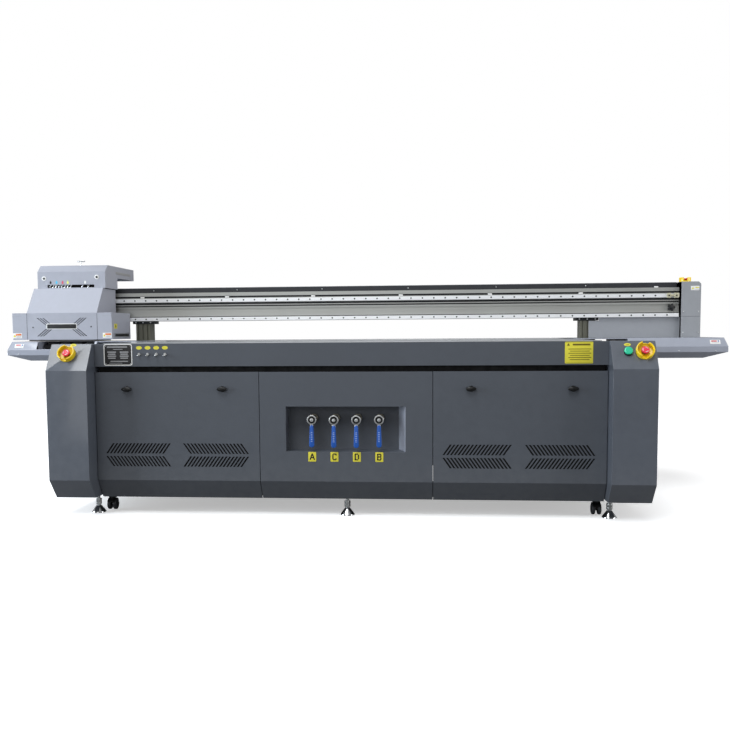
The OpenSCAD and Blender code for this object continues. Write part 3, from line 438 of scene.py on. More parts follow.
@dataclass(frozen=True)
class Finish:
    """A surface finish with colour drift, roughness drift and a fine relief.

    Args:
        title: the finish's name.
        colour: sRGB hex colour.
        slot: the record's material slot that it belongs to; not used.
        roughness: middle roughness.
        metallic: 1 for bare metal.
        coat: clear coat weight.
        drift: how much the colour varies over hand-sized areas.
        grain_mm: size of the fine relief.
        relief_mm: depth of the fine relief.
        stretch: how the relief is stretched along each axis, for brushed or extruded metal.
        dust: how much pale dust lies near the floor.
        ior: index of refraction of a non-metal.
    """

    title: str
    colour: str
    slot: str
    roughness: float = 0.5
    metallic: float = 0.0
    coat: float = 0.0
    drift: float = 0.06
    grain_mm: float = 2.2
    relief_mm: float = 0.03
    stretch: Triple = (1.0, 1.0, 1.0)
    dust: float = 0.0
    ior: float = 1.5

    def material(self) -> Material:
        """The finish as a node material, made once."""
        made = bpy.data.materials.get(self.title)
        return made if made else self._build()

    def _build(self) -> Material:
        """Builds the node tree: drift and grain read Object coordinates."""
        made = bpy.data.materials.new(self.title)
        made.use_nodes = True
        tree = made.node_tree
        shader = tree.nodes["Principled BSDF"]
        place = add(tree, "ShaderNodeTexCoord").outputs["Object"]
        stretched = add(tree, "ShaderNodeMapping", {"Scale": self.stretch}, {"Vector": place}).outputs[0]
        broad = add(tree, "ShaderNodeTexNoise", {"Scale": 2.6, "Detail": 4.0, "Roughness": 0.6},
                    {"Vector": place})
        smear = add(tree, "ShaderNodeTexNoise", {"Scale": per_metre(34), "Detail": 3.0},
                    {"Vector": stretched})
        grain = add(tree, "ShaderNodeTexNoise",
                    {"Scale": per_metre(self.grain_mm), "Detail": 2.0, "Roughness": 0.55},
                    {"Vector": stretched})
        colour = self._colour(tree, broad.outputs[0], smear.outputs[0], grain.outputs[0])
        tree.links.new(self._dusted(tree, colour, place, smear.outputs[0]), shader.inputs["Base Color"])
        rough = add(tree, "ShaderNodeMapRange",
                    {"From Min": 0.3, "From Max": 0.7, "To Min": self.roughness * 0.84,
                    "To Max": min(1.0, self.roughness * 1.16)}, {"Value": smear.outputs[0]})
        tree.links.new(rough.outputs[0], shader.inputs["Roughness"])
        bump = add(tree, "ShaderNodeBump", {"Strength": 0.6, "Distance": self.relief_mm * MM},
                   {"Height": grain.outputs[0]})
        tree.links.new(bump.outputs[0], shader.inputs["Normal"])
        shader.inputs["Metallic"].default_value = self.metallic
        shader.inputs["Coat Weight"].default_value = self.coat
        shader.inputs["Coat Roughness"].default_value = 0.12
        if not self.metallic:
            shader.inputs["IOR"].default_value = self.ior
        return made

    def _colour(self, tree: Tree, broad: Socket, smear: Socket, grain: Socket) -> Socket:
        """The base colour, darker and lighter by the drift over broad, smeared and fine noise.

        Args:
            tree: the material's node tree.
            broad: noise over hand-sized areas.
            smear: noise along the grain.
            grain: fine noise.
        Returns:
            The colour socket.
        """
        base = np.array(linear(self.colour))
        dark, light = base * (1 - self.drift), np.minimum(base * (1 + self.drift), 1.0)
        mixed = add(tree, "ShaderNodeMath", {"operation": "ADD"}, {0: broad, 1: smear})
        mixed = add(tree, "ShaderNodeMath", {"operation": "ADD"}, {0: mixed.outputs[0], 1: grain})
        return add(tree, "ShaderNodeMapRange", {"data_type": "FLOAT_VECTOR", 7: (1.1,) * 3, 8: (1.9,) * 3,
                   9: tuple(dark[:3]), 10: tuple(light[:3])}, {6: mixed.outputs[0]}).outputs[1]

    def _dusted(self, tree: Tree, colour: Socket, place: Socket, smear: Socket) -> Socket:
        """The colour with a veil of workshop dust that thickens towards the floor.

        Args:
            tree: the material's node tree.
            colour: the clean colour.
            place: Object coordinates.
            smear: noise that breaks the veil up.
        Returns:
            The colour socket with the dust on it.
        """
        if not self.dust:
            return colour
        height = add(tree, "ShaderNodeSeparateXYZ", {}, {0: place}).outputs[2]
        low = add(tree, "ShaderNodeMapRange", {"From Min": 0.35, "From Max": 0.02, "To Min": 0.0,
                  "To Max": self.dust * 2}, {"Value": height})
        veil = add(tree, "ShaderNodeMath", {"operation": "MULTIPLY"}, {0: low.outputs[0], 1: smear})
        return add(tree, "ShaderNodeMix", {"data_type": "RGBA", 7: linear("#8E8A82")},
                   {0: veil.outputs[0], 6: colour}).outputs[2]


class Finishes:
    """Every finish of the printer."""

    # Polyester powder coat: an orange-peel skin, drawn at 3 mm so that it shows.
    column = Finish("powder_coat_blue_grey", "#555B65", "column_paint", 0.4, coat=1.0, grain_mm=3.0,
                    relief_mm=0.05, dust=0.10)
    panel = Finish("powder_coat_slate", "#51565E", "panel_paint", 0.52, grain_mm=3.0, relief_mm=0.05,
                   dust=0.10)
    cover = Finish("powder_coat_lilac_grey", "#A9ACB7", "cover_paint", 0.46, grain_mm=3.0, relief_mm=0.04,
                   drift=0.04)
    end = Finish("powder_coat_pale_grey", "#979A9F", "cover_paint", 0.5, grain_mm=3.0, relief_mm=0.04,
                 drift=0.04)
    wing = Finish("powder_coat_cool_grey", "#A0A5B2", "wing_paint", 0.34, coat=1.0, grain_mm=3.0,
                  relief_mm=0.04, drift=0.04)
    trough = Finish("satin_black_trough_paint", "#2A2C30", "frame_steel", 0.5, drift=0.1, grain_mm=3.0)
    frame = Finish("brushed_on_frame_paint", "#3B3E44", "frame_steel", 0.55, drift=0.12, grain_mm=6.0,
                   dust=0.3)
    # Clear-anodised extruded aluminium: die lines run along the beam.
    beam = Finish("anodised_beam", "#B4B5B1", "gantry_aluminium", 0.42, 0.6, drift=0.08, grain_mm=1.6,
                  stretch=(0.01, 1.0, 1.0))
    leg = Finish("anodised_post", "#6C6C60", "gantry_aluminium", 0.45, 0.5, drift=0.08, grain_mm=1.6,
                 stretch=(1.0, 1.0, 0.01))
    bed = Finish("anodised_table", "#B9BCC0", "bed_aluminium", 0.48, 0.9, drift=0.05, grain_mm=2.4)
    tray = Finish("mill_aluminium", "#9DA0A4", "bed_aluminium", 0.5, 0.9, drift=0.1, grain_mm=5.0)
    # Ground guide steel, its colour raised almost to white: a painted highlight of the soft light along the
    # rails.
    rail = Finish("ground_rail_steel", "#F4F5F6", "rail_steel", 0.32, 0.25, drift=0.03, grain_mm=0.9,
                  stretch=(0.02, 1.0, 1.0))
    screw = Finish("rolled_screw_steel", "#C6C8CC", "machine_steel", 0.28, 1.0, drift=0.06, grain_mm=2.0)
    bolt = Finish("black_oxide_bolt", "#2A2B2D", "machine_steel", 0.4, 0.7, drift=0.1, grain_mm=1.0)
    zinc = Finish("zinc_plated_steel", "#C9CBCB", "machine_steel", 0.34, 1.0, drift=0.08, grain_mm=2.0)
    chrome = Finish("bright_chrome", "#E4E6E8", "chrome_plate", 0.12, 1.0, drift=0.03, grain_mm=4.0,
                    relief_mm=0.01)
    brass = Finish("nickel_plated_brass", "#8F8B80", "brass", 0.35, 1.0, drift=0.1, grain_mm=1.5)
    # Dip-moulded vinyl: soft sheen and faint runs.
    vinyl = Finish("dipped_blue_vinyl", "#1D57B0", "blue_sleeve", 0.34, drift=0.12, grain_mm=5.0,
                   relief_mm=0.2)
    black = Finish("moulded_black_abs", "#0D0E10", "black_plastic", 0.45, drift=0.1, grain_mm=1.2)
    latch = Finish("polished_black_nylon", "#060708", "black_plastic", 0.3, drift=0.1, grain_mm=1.2)
    # Black for painted shade behind openings, in gaps and in holes, and for the dark seam across the end
    # cover.
    soot = Finish("black_lined_gap", "#060607", "black_plastic", 0.9, drift=0.1, grain_mm=1.2)
    rubber = Finish("caster_rubber_tread", "#1A1E27", "caster_rubber", 0.5, drift=0.15, grain_mm=1.5,
                    dust=0.05)
    belt = Finish("toothed_belt_rubber", "#121314", "belt_rubber", 0.7, drift=0.1, grain_mm=1.5)
    motor = Finish("enamelled_motor_black", "#1A1B1E", "motor_black", 0.35, coat=0.3, grain_mm=4.0)
    pump = Finish("enamelled_pump_blue", "#2E5F85", "pump_casting", 0.4, coat=0.3, drift=0.1, grain_mm=4.0,
                  relief_mm=0.2)
    # Moulded acetal and ABS of the switches.
    yellow = Finish("moulded_yellow", "#F0CE1C", "yellow_plastic", 0.3, drift=0.05, grain_mm=2.0,
                    relief_mm=0.02)
    red = Finish("moulded_red", "#E83A55", "red_plastic", 0.28, drift=0.05, grain_mm=2.0, relief_mm=0.02)
    green = Finish("moulded_green_lens", "#27C99B", "green_plastic", 0.25, coat=0.5, drift=0.05,
                   relief_mm=0.02)
    beige = Finish("moulded_beige", "#B8B49A", "yellow_plastic", 0.5, drift=0.05)
    heads = Finish("black_anodised_heads", "#232427", "head_black", 0.4, drift=0.1, grain_mm=2.0)
    # Printed polyester labels.
    paper_white = Finish("label_white", "#ECECEA", "black_plastic", 0.4, drift=0.02, relief_mm=0.01)
    paper_yellow = Finish("label_yellow", "#E4DA42", "yellow_plastic", 0.42, drift=0.03, relief_mm=0.01)
    paper_orange = Finish("label_orange", "#E07A3A", "yellow_plastic", 0.42, drift=0.03, relief_mm=0.01)
    paper_red = Finish("label_red", "#C8384A", "red_plastic", 0.42, drift=0.03, relief_mm=0.01)
    ink_black = Finish("label_black_ink", "#1B1B1C", "black_plastic", 0.45, drift=0.03, relief_mm=0.01)
    ink_grey = Finish("label_grey_ink", "#9A9B9D", "black_plastic", 0.45, drift=0.03, relief_mm=0.01)
    ink_ochre = Finish("label_ochre_ink", "#6E6212", "yellow_plastic", 0.45, drift=0.03, relief_mm=0.01)
    ink_sky = Finish("label_pale_blue_ink", "#9DB4E4", "blue_sleeve", 0.45, drift=0.03, relief_mm=0.01)
    ink_cyan = Finish("mark_cyan", "#4FC3E8", "blue_sleeve", 0.4, drift=0.03, relief_mm=0.01)
    ink_magenta = Finish("mark_magenta", "#D85A70", "red_plastic", 0.4, drift=0.03, relief_mm=0.01)
    ink_yellow = Finish("mark_yellow", "#E8EC7A", "yellow_plastic", 0.4, drift=0.03, relief_mm=0.01)


# ---------------------------------------------------------------- making pieces


class Assembly:
    """A sub-assembly: it makes pieces, dresses them and reports each one.

    Args:
        body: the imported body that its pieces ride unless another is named.
    """

    body = "root"

    def piece(self, name: str, shape: Shape, finish: Finish, body: str = "", stands_for: Sequence[str] = (),
              smooth: float = 35.0) -> Object:
        """Makes a mesh object from a shape, dresses it and lets it ride.

        Args:
            name: the piece's name.
            shape: its points and faces.
            finish: its finish.
            body: the body that it rides, if not the assembly's own.
            stands_for: CAD nodes that it replaces.
            smooth: faces that meet at less than this many degrees shade as one.
        Returns:
            The object.
        """
        mesh = bpy.data.meshes.new(name)
        rows = [row for group in shape.faces for row in group.tolist()]
        mesh.from_pydata(shape.points.tolist(), [], rows)
        made = bpy.data.objects.new(name, mesh)
        return self.dress(made, finish, body, stands_for, smooth)

    def dress(self, made: Object, finish: Finish, body: str = "", stands_for: Sequence[str] = (),
              smooth: float = 35.0) -> Object:
        """Links an object, shades it, gives it its finish and lets it ride a body.

        Args:
            made: the object.
            finish: its finish.
            body: the body that it rides, if not the assembly's own.
            stands_for: CAD nodes that it replaces.
            smooth: faces that meet at less than this many degrees shade as one.
        Returns:
            The object.
        """
        bpy.context.scene.collection.objects.link(made)
        made.data.shade_smooth()
        made.data.set_sharp_from_angle(angle=math.radians(smooth))
        made.data.materials.append(finish.material())
        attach(made, body or self.body)
        if stands_for:
            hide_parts(*stands_for)
        LOG.info("%s rides %s: %d faces", made.name, body or self.body, len(made.data.polygons))
        return made

    def folded(self, node: str, finish: Finish, radius: float, body: str = "", segments: int = 2) -> Object:
        """A CAD node's own surface with its edges rounded, as a press brake or a file leaves them.

        Args:
            node: the CAD node, which the piece replaces.
            finish: the piece's finish.
            radius: radius of the rounded edges.
            body: the body that it rides, if not the assembly's own.
            segments: facets across each rounded edge.
        Returns:
            The object.
        """
        shell = bmesh.new()
        shell.from_mesh(frame["nodes"][node].data)
        bmesh.ops.remove_doubles(shell, verts=shell.verts, dist=1e-5)
        bmesh.ops.dissolve_limit(shell, angle_limit=math.radians(0.5), verts=shell.verts, edges=shell.edges)
        mesh = bpy.data.meshes.new(node + "_shell")
        shell.to_mesh(mesh)
        shell.free()
        made = self.dress(bpy.data.objects.new(node + "_shell", mesh), finish, body, (node,))
        rounding = made.modifiers.new("edge_radius", "BEVEL")
        rounding.width = radius
        rounding.segments = segments
        rounding.limit_method = "ANGLE"
        rounding.angle_limit = math.radians(28)
        rounding.harden_normals = True
        rounding.use_clamp_overlap = True
        return made


def joint_place(name: str) -> Array:
    """Where a hinge stands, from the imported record."""
    return next(np.array(j["pos_m"]) for j in frame["joints"] if j["name"] == name)


def middle(node: str) -> Array:
    """The middle of a CAD node's box."""
    low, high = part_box(node)
    return np.array((low + high) / 2)


# ---------------------------------------------------------------- small hardware


def cap_screw(radius: float, height: float) -> Shape:
    """A socket cap screw's head: a softened cylinder with a hexagon socket sunk into its top.

    Args:
        radius: the head's radius.
        height: the head's height.
    Returns:
        The head, standing on its own Z = 0.
    """
    r, h = radius, height
    head = [(r, 0), (r, h * 0.82), (r * 0.9, h), (r * 0.5, h), (r * 0.46, h * 0.35), (0.0, h * 0.3)]
    rings = [np.column_stack([circle(max(a, 1e-5), 18), np.full(18, z)]) for a, z in head]
    hexed = np.array(rings)
    a = np.arange(18) * 2 * math.pi / 18
    flat = np.cos(math.pi / 6) / np.cos((a % (math.pi / 3)) - math.pi / 6)
    hexed[3:5, :, :2] *= flat[None, :, None]
    return loft(hexed)


def pan_screw(radius: float) -> Shape:
    """A pan-head screw: a dome with a cross recess drawn as a shallow dish."""
    r = radius
    return lathe([(r, 0), (r, r * 0.2), (r * 0.86, r * 0.42), (r * 0.55, r * 0.55), (r * 0.32, r * 0.58),
                  (r * 0.22, r * 0.3), (0, r * 0.25)], 20)


def hex_nut(across: float, height: float, bore: float) -> Shape:
    """A hexagon nut with chamfered corners: the radius follows a hexagon but is capped by a circle.

    Args:
        across: width across two corners.
        height: its height.
        bore: radius of its hole.
    Returns:
        The nut, standing on its own Z = 0.
    """
    count = 48
    a = np.arange(count) * 2 * math.pi / count
    hexagon = across / 2 / np.cos((a % (math.pi / 3)) - math.pi / 6)
    levels = [(0.0, 0.93), (height * 0.14, 1.0), (height * 0.86, 1.0), (height, 0.93)]
    rings = [np.column_stack([np.cos(a) * np.minimum(hexagon, across / 1.732 * k),
                              np.sin(a) * np.minimum(hexagon, across / 1.732 * k), np.full(count, z)])
             for z, k in levels]
    rings.append(np.column_stack([circle(bore, count), np.full(count, height)]))
    return loft(np.array(rings))


def threaded(radius: float, depth: float, pitch: float, low: float, high: float) -> Shape:
    """A threaded stud: rings whose radius falls by depth once in each pitch.

    Args:
        radius: outer radius.
        depth: depth of the thread.
        pitch: distance between two crests.
        low: lower end.
        high: upper end.
    Returns:
        The stud, along its own Z.
    """
    z = np.linspace(low, high, max(2, int((high - low) / pitch * 4)))
    r = radius - depth * (0.5 - 0.5 * np.cos(2 * math.pi * z / pitch))
    return lathe(list(zip(r, z)), 20)


@dataclass(frozen=True)
class Mark:
    """A printed area on a label: its middle and size on the label, corner radius and ink."""

    x: float
    y: float
    width: float
    height: float
    ink: Finish
    corner: float = 0.001


@dataclass
class Label(Assembly):
    """A printed polyester label with raised-ink marks.

    Args:
        name: the label's name.
        at: its middle on the surface.
        facing: the way that it looks.
        width: its width.
        height: its height.
        paper: the label stock's finish.
        marks: printed areas.
        corner: corner radius.
        on: the body that it rides.
    """

    name: str
    at: Triple
    facing: Facing
    width: float
    height: float
    paper: Finish
    marks: Sequence[Mark] = ()
    corner: float = 0.003
    on: str = "root"

    def build(self) -> None:
        """Makes the label's stock and one piece for each ink."""
        stock = slab(self.width, self.height, 0.0004, self.corner, 0.0001)
        self.piece(self.name, stock.put(self.facing, self.at), self.paper, self.on)
        inks: dict[Finish, list[Shape]] = {}
        for mark in self.marks:
            shape = slab(mark.width, mark.height, 0.00025,
                         min(mark.corner, min(mark.width, mark.height) / 2.1), 0.00005)
            inks.setdefault(mark.ink, []).append(Shape(shape.points + [mark.x, mark.y, 0.00035], shape.faces))
        for number, (ink, shapes) in enumerate(inks.items()):
            self.piece(f"{self.name}_print_{number}", joined(shapes).put(self.facing, self.at), ink, self.on)


def joined(shapes: Sequence[Shape]) -> Shape:
    """Several shapes as one.

    Args:
        shapes: the shapes.
    Returns:
        The shape that holds them all.
    """
    total = shapes[0]
    for shape in shapes[1:]:
        total = total + shape
    return total


def flat(outline: Array, thickness: float) -> Shape:
    """A flat plate of any convex or mildly concave outline, standing on its own Z = 0."""
    return stack(outline, [(0.0, 0.0), (thickness * 0.7, 0.0), (thickness, min(thickness * 0.3, 0.0004))])


def warning_triangle(size: float, thickness: float = 0.0005) -> Shape:
    """A warning triangle with blunt corners.

    Args:
        size: distance of a tip from the middle.
        thickness: its thickness.
    Returns:
        The triangle, lying flat.
    """
    a = math.pi / 2 + np.arange(3) * 2 * math.pi / 3
    tip = np.column_stack([np.cos(a), np.sin(a)]) * size
    outline = np.vstack([[p + (q - p) * t for t in (0.08, 0.92)] for p,
                         q in zip(tip, np.roll(tip, -1, axis=0))])
    return flat(outline, thickness)


class Letter(Enum):
    """Strokes of the valve tags' letters as bars: x, y, width, height and turn on a unit tall letter."""

    A = ((-0.17, 0.0, 0.13, 1.02, -19.0), (0.17, 0.0, 0.13, 1.02, 19.0), (0.0, -0.14, 0.36, 0.12, 0.0))
    B = ((-0.24, 0.0, 0.14, 1.0, 0.0), (0.0, 0.43, 0.46, 0.13, 0.0), (0.0, 0.02, 0.46, 0.13, 0.0),
         (0.0, -0.43, 0.46, 0.13, 0.0), (0.24, 0.23, 0.13, 0.34, 0.0), (0.24, -0.21, 0.13, 0.36, 0.0))
    C = ((-0.24, 0.0, 0.14, 0.78, 0.0), (0.03, 0.43, 0.46, 0.13, 0.0), (0.03, -0.43, 0.46, 0.13, 0.0),
         (0.25, 0.31, 0.13, 0.18, 0.0), (0.25, -0.31, 0.13, 0.18, 0.0))
    D = ((-0.24, 0.0, 0.14, 1.0, 0.0), (-0.02, 0.43, 0.42, 0.13, 0.0), (-0.02, -0.43, 0.42, 0.13, 0.0),
         (0.25, 0.0, 0.14, 0.68, 0.0))

    def shape(self, height: float) -> Shape:
        """The letter's strokes as thin raised bars.

        Args:
            height: the letter's height.
        Returns:
            The strokes as one shape, on its own Z = 0.
        """
        bars = []
        for x, y, width, tall, turn in self.value:
            width, tall = (width * 1.4, tall) if width < tall else (width, tall * 1.4)
            bar = slab(width * height, tall * height, 0.0003, 0.0012, 0.00005)
            bars.append(bar.put(Facing.UP, (x * height, y * height, 0.0), turn))
        return joined(bars)


# ---------------------------------------------------------------- cabinet


@dataclass
class Cabinet(Assembly):
    """Columns, apron, doors, centre panel, and a black sheet of painted shade in the gap behind them.

    Args:
        column_bend: bend radius of the column covers.
        panel_bend: bend radius of the apron.
        shell_bend: bend radius of the thin panels and the doors.
    """

    column_bend: float = 0.0035
    panel_bend: float = 0.002
    shell_bend: float = 0.0008

    def build(self) -> None:
        """Makes the cabinet's covers."""
        self.folded("front_columns", Finishes.column, self.column_bend)
        self.folded("rear_columns", Finishes.column, self.column_bend)
        self.folded("front_apron", Finishes.panel, self.panel_bend)
        self.folded("centre_panel", Finishes.panel, 0.0012)
        self.folded("door_left", Finishes.panel, self.shell_bend, "door_left", segments=1)
        self.folded("door_right", Finishes.panel, self.shell_bend, "door_right", segments=1)
        self.folded("cabinet_panels", Finishes.panel, self.shell_bend, segments=1)
        for node in ("frame_posts", "frame_side_beams", "frame_crossbeams"):
            self.folded(node, Finishes.frame, 0.004)
        self.dark_gap()
        self.vent_linings()
        self.recess_cheek()
        self.seams()

    def vent_linings(self) -> None:
        """Black sheets behind the doors' vents, painted shade that makes the vents read dark: each sheet
        rides its door.
        """
        for side in ("left", "right"):
            door = "door_" + side
            low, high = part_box(door)
            shade_sheet = block((low.x + 0.022, low.y + 0.0055, VENT_FOOT),
                        (high.x - 0.022, low.y + 0.0075, VENT_TOP), 0.0006)
            self.piece("vent_lining_" + side, shade_sheet, Finishes.soot, door)

    def recess_cheek(self) -> None:
        """A pale sheet that leans inwards along the right-hand wall of the valve recess: a painted highlight
        of the light that falls on that wall from the left.
        """
        low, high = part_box("centre_panel")
        x, y = (RECESS_SIDE - 0.0006, RECESS_SIDE - 0.038), (low.y + 0.002, high.y - 0.0042)
        corners = [(x[0] - 0.0012, y[0]), (x[0], y[0]), (x[1] + 0.0012, y[1]), (x[1], y[1])]
        foot = np.array([(*corner, RECESS_FLOOR + 0.0008) for corner in corners])
        top = foot + (0, 0, RECESS_TOP - RECESS_FLOOR - 0.0016)
        self.piece("recess_cheek", loft(np.stack([foot, top])), Finishes.wing)

    def dark_gap(self) -> None:
        """A channel of black sheet that closes the gap between the apron and the doors: painted shade of the
        dark space inside.
        """
        low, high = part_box("front_apron")
        y0 = low.y + 0.030
        shape = block((low.x + 0.012, y0, low.z - 0.038), (high.x - 0.012, y0 + 0.002, low.z + 0.004), 0.0006)
        shape = shape + block((low.x + 0.012, low.y + 0.004, low.z + 0.0035),
                              (high.x - 0.012, y0, low.z + 0.005), 0.0006)
        self.piece("gap_channel", shape, Finishes.soot)

    def seams(self) -> None:
        """Screws along the columns' side flanges."""
        low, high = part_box("front_columns")
        heights = np.linspace(low.z + 0.16, high.z - 0.19, 5)
        head = pan_screw(0.0045)
        for side, facing in ((-1, Facing.LEFT), (1, Facing.RIGHT)):
            x = side * high.x
            for sign, tag in ((-1, "front"), (1, "rear")):
                at = np.column_stack([np.full(5, x), np.full(5, sign * (abs(low.y) - 0.14)), heights])
                self.piece(f"column_screws_{tag}_{facing.name.lower()}",
                           head.put(facing, (0, 0, 0)).copies(at),
                           Finishes.zinc)


@dataclass
class Casework(Assembly):
    """Plates, notices and tags on the apron and the columns."""

    def build(self) -> None:
        """Makes every label on the cabinet."""
        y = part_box("front_apron")[0].y - 0.0002
        self.rating_plate(y)
        self.notice(y)
        self.tags()
        self.column_labels()

    def rating_plate(self, y: float) -> None:
        """A black anodised rating plate with a pale border and rows of pale bars.

        Args:
            y: where the apron's face stands.
        """
        w, h, x, z = 0.152, 0.112, -1.187, PLATE_Z
        cells = [Mark(side * 0.033, 0.014 - 0.0105 * k, 0.046 - 0.006 * (k % 2), 0.0062, Finishes.ink_grey,
                      0.0005)
                 for side in (-1, 1) for k in range(4)]
        cells += [Mark(-0.004, 0.0405, 0.108, 0.0062, Finishes.ink_grey),
                  Mark(0.0, 0.0285, 0.052, 0.0030, Finishes.ink_grey),
                  Mark(0.006, -0.0340, 0.094, 0.0050, Finishes.ink_grey),
                  Mark(-0.012, -0.0435, 0.070, 0.0026, Finishes.ink_grey)]
        Label("rating_plate", (x, y, z), Facing.FRONT, w, h, Finishes.ink_black, cells, 0.010).build()
        outer, inner = round_rect(w, h, 0.010), round_rect(w - 0.009, h - 0.009, 0.0065)
        section = [(outer, 0.0), (outer, 0.0007), (inner, 0.0007), (inner, 0.0)]
        rim = torus_like(np.stack([np.column_stack([edge, np.full(len(edge), k)]) for edge, k in section],
                                  axis=1))
        self.piece("rating_plate_border", rim.put(Facing.FRONT, (x, y, z)), Finishes.paper_white)
        rivets = pan_screw(0.0022).front()
        places = [(x + sx * 0.066, y - 0.0004, z + sz * 0.046) for sx in (-1, 1) for sz in (-1, 1)]
        self.piece("rating_plate_rivets", rivets.copies(np.array(places)), Finishes.zinc)

    def notice(self, y: float) -> None:
        """A yellow notice with dark rows of bars under a heading.

        Args:
            y: where the apron's face stands.
        """
        w, h, x = 0.138, 0.108, 1.1695
        rows = [Mark(0.004, 0.018 - 0.0105 * k, 0.112 - 0.016 * (k % 2), 0.0034, Finishes.ink_ochre)
                for k in range(6)]
        head = [Mark(0.012, 0.040, 0.086, 0.009, Finishes.ink_ochre)]
        frame_bars = [Mark(0, s * (h / 2 - 0.004), w - 0.008, 0.001, Finishes.ink_ochre) for s in (-1, 1)]
        Label("apron_notice", (x, y, PLATE_Z), Facing.FRONT, w, h, Finishes.paper_yellow,
              head + rows + frame_bars, 0.005).build()
        triangle = warning_triangle(0.0085).put(Facing.FRONT, (x - 0.052, y - 0.0004, PLATE_Z + 0.039))
        self.piece("apron_notice_triangle", triangle, Finishes.ink_ochre)

    def tags(self) -> None:
        """A lettered tag under each suction valve."""
        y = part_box("centre_panel")[0].y - 0.0002
        for node, letter in (("valve_lever_a", Letter.A), ("valve_lever_c", Letter.C),
                             ("valve_lever_d", Letter.D),
                             ("valve_lever_b", Letter.B)):
            x = middle(node)[0]
            name = "tag_" + letter.name.lower()
            Label(name, (x, y, TAG_Z), Facing.FRONT, 0.041, 0.050, Finishes.paper_yellow, (), 0.003).build()
            self.piece(name + "_letter", letter.shape(0.034).put(Facing.FRONT, (x, y - 0.0004, TAG_Z)),
                       Finishes.ink_black)

    def column_labels(self) -> None:
        """Small yellow oval legends above the left stop switch and the start button."""
        out = np.array([0.0, -SLOPE_RISE[2], SLOPE_RISE[1]])
        for name, x, rise in (("legend_left", -1.412, 0.0545), ("legend_start", 1.395, 0.040)):
            at = np.array([x, SEAT_Y, SEAT_Z]) + SLOPE_RISE * rise - out * 0.0001
            oval = flat(circle(1.0, 40) * [0.0165, 0.0082], 0.0005)
            self.piece(name, oval.put(Facing.SLOPE, at), Finishes.paper_yellow)
            bars = slab(0.018, 0.0018, 0.0003, 0.0006, 0.0001) + slab(0.012, 0.0014, 0.0003, 0.0006,
                                                                      0.0001).put(
                Facing.UP, (0, -0.0034, 0))
            self.piece(name + "_print", bars.put(Facing.SLOPE, at + out * 0.00045), Finishes.ink_ochre)


# ---------------------------------------------------------------- valves


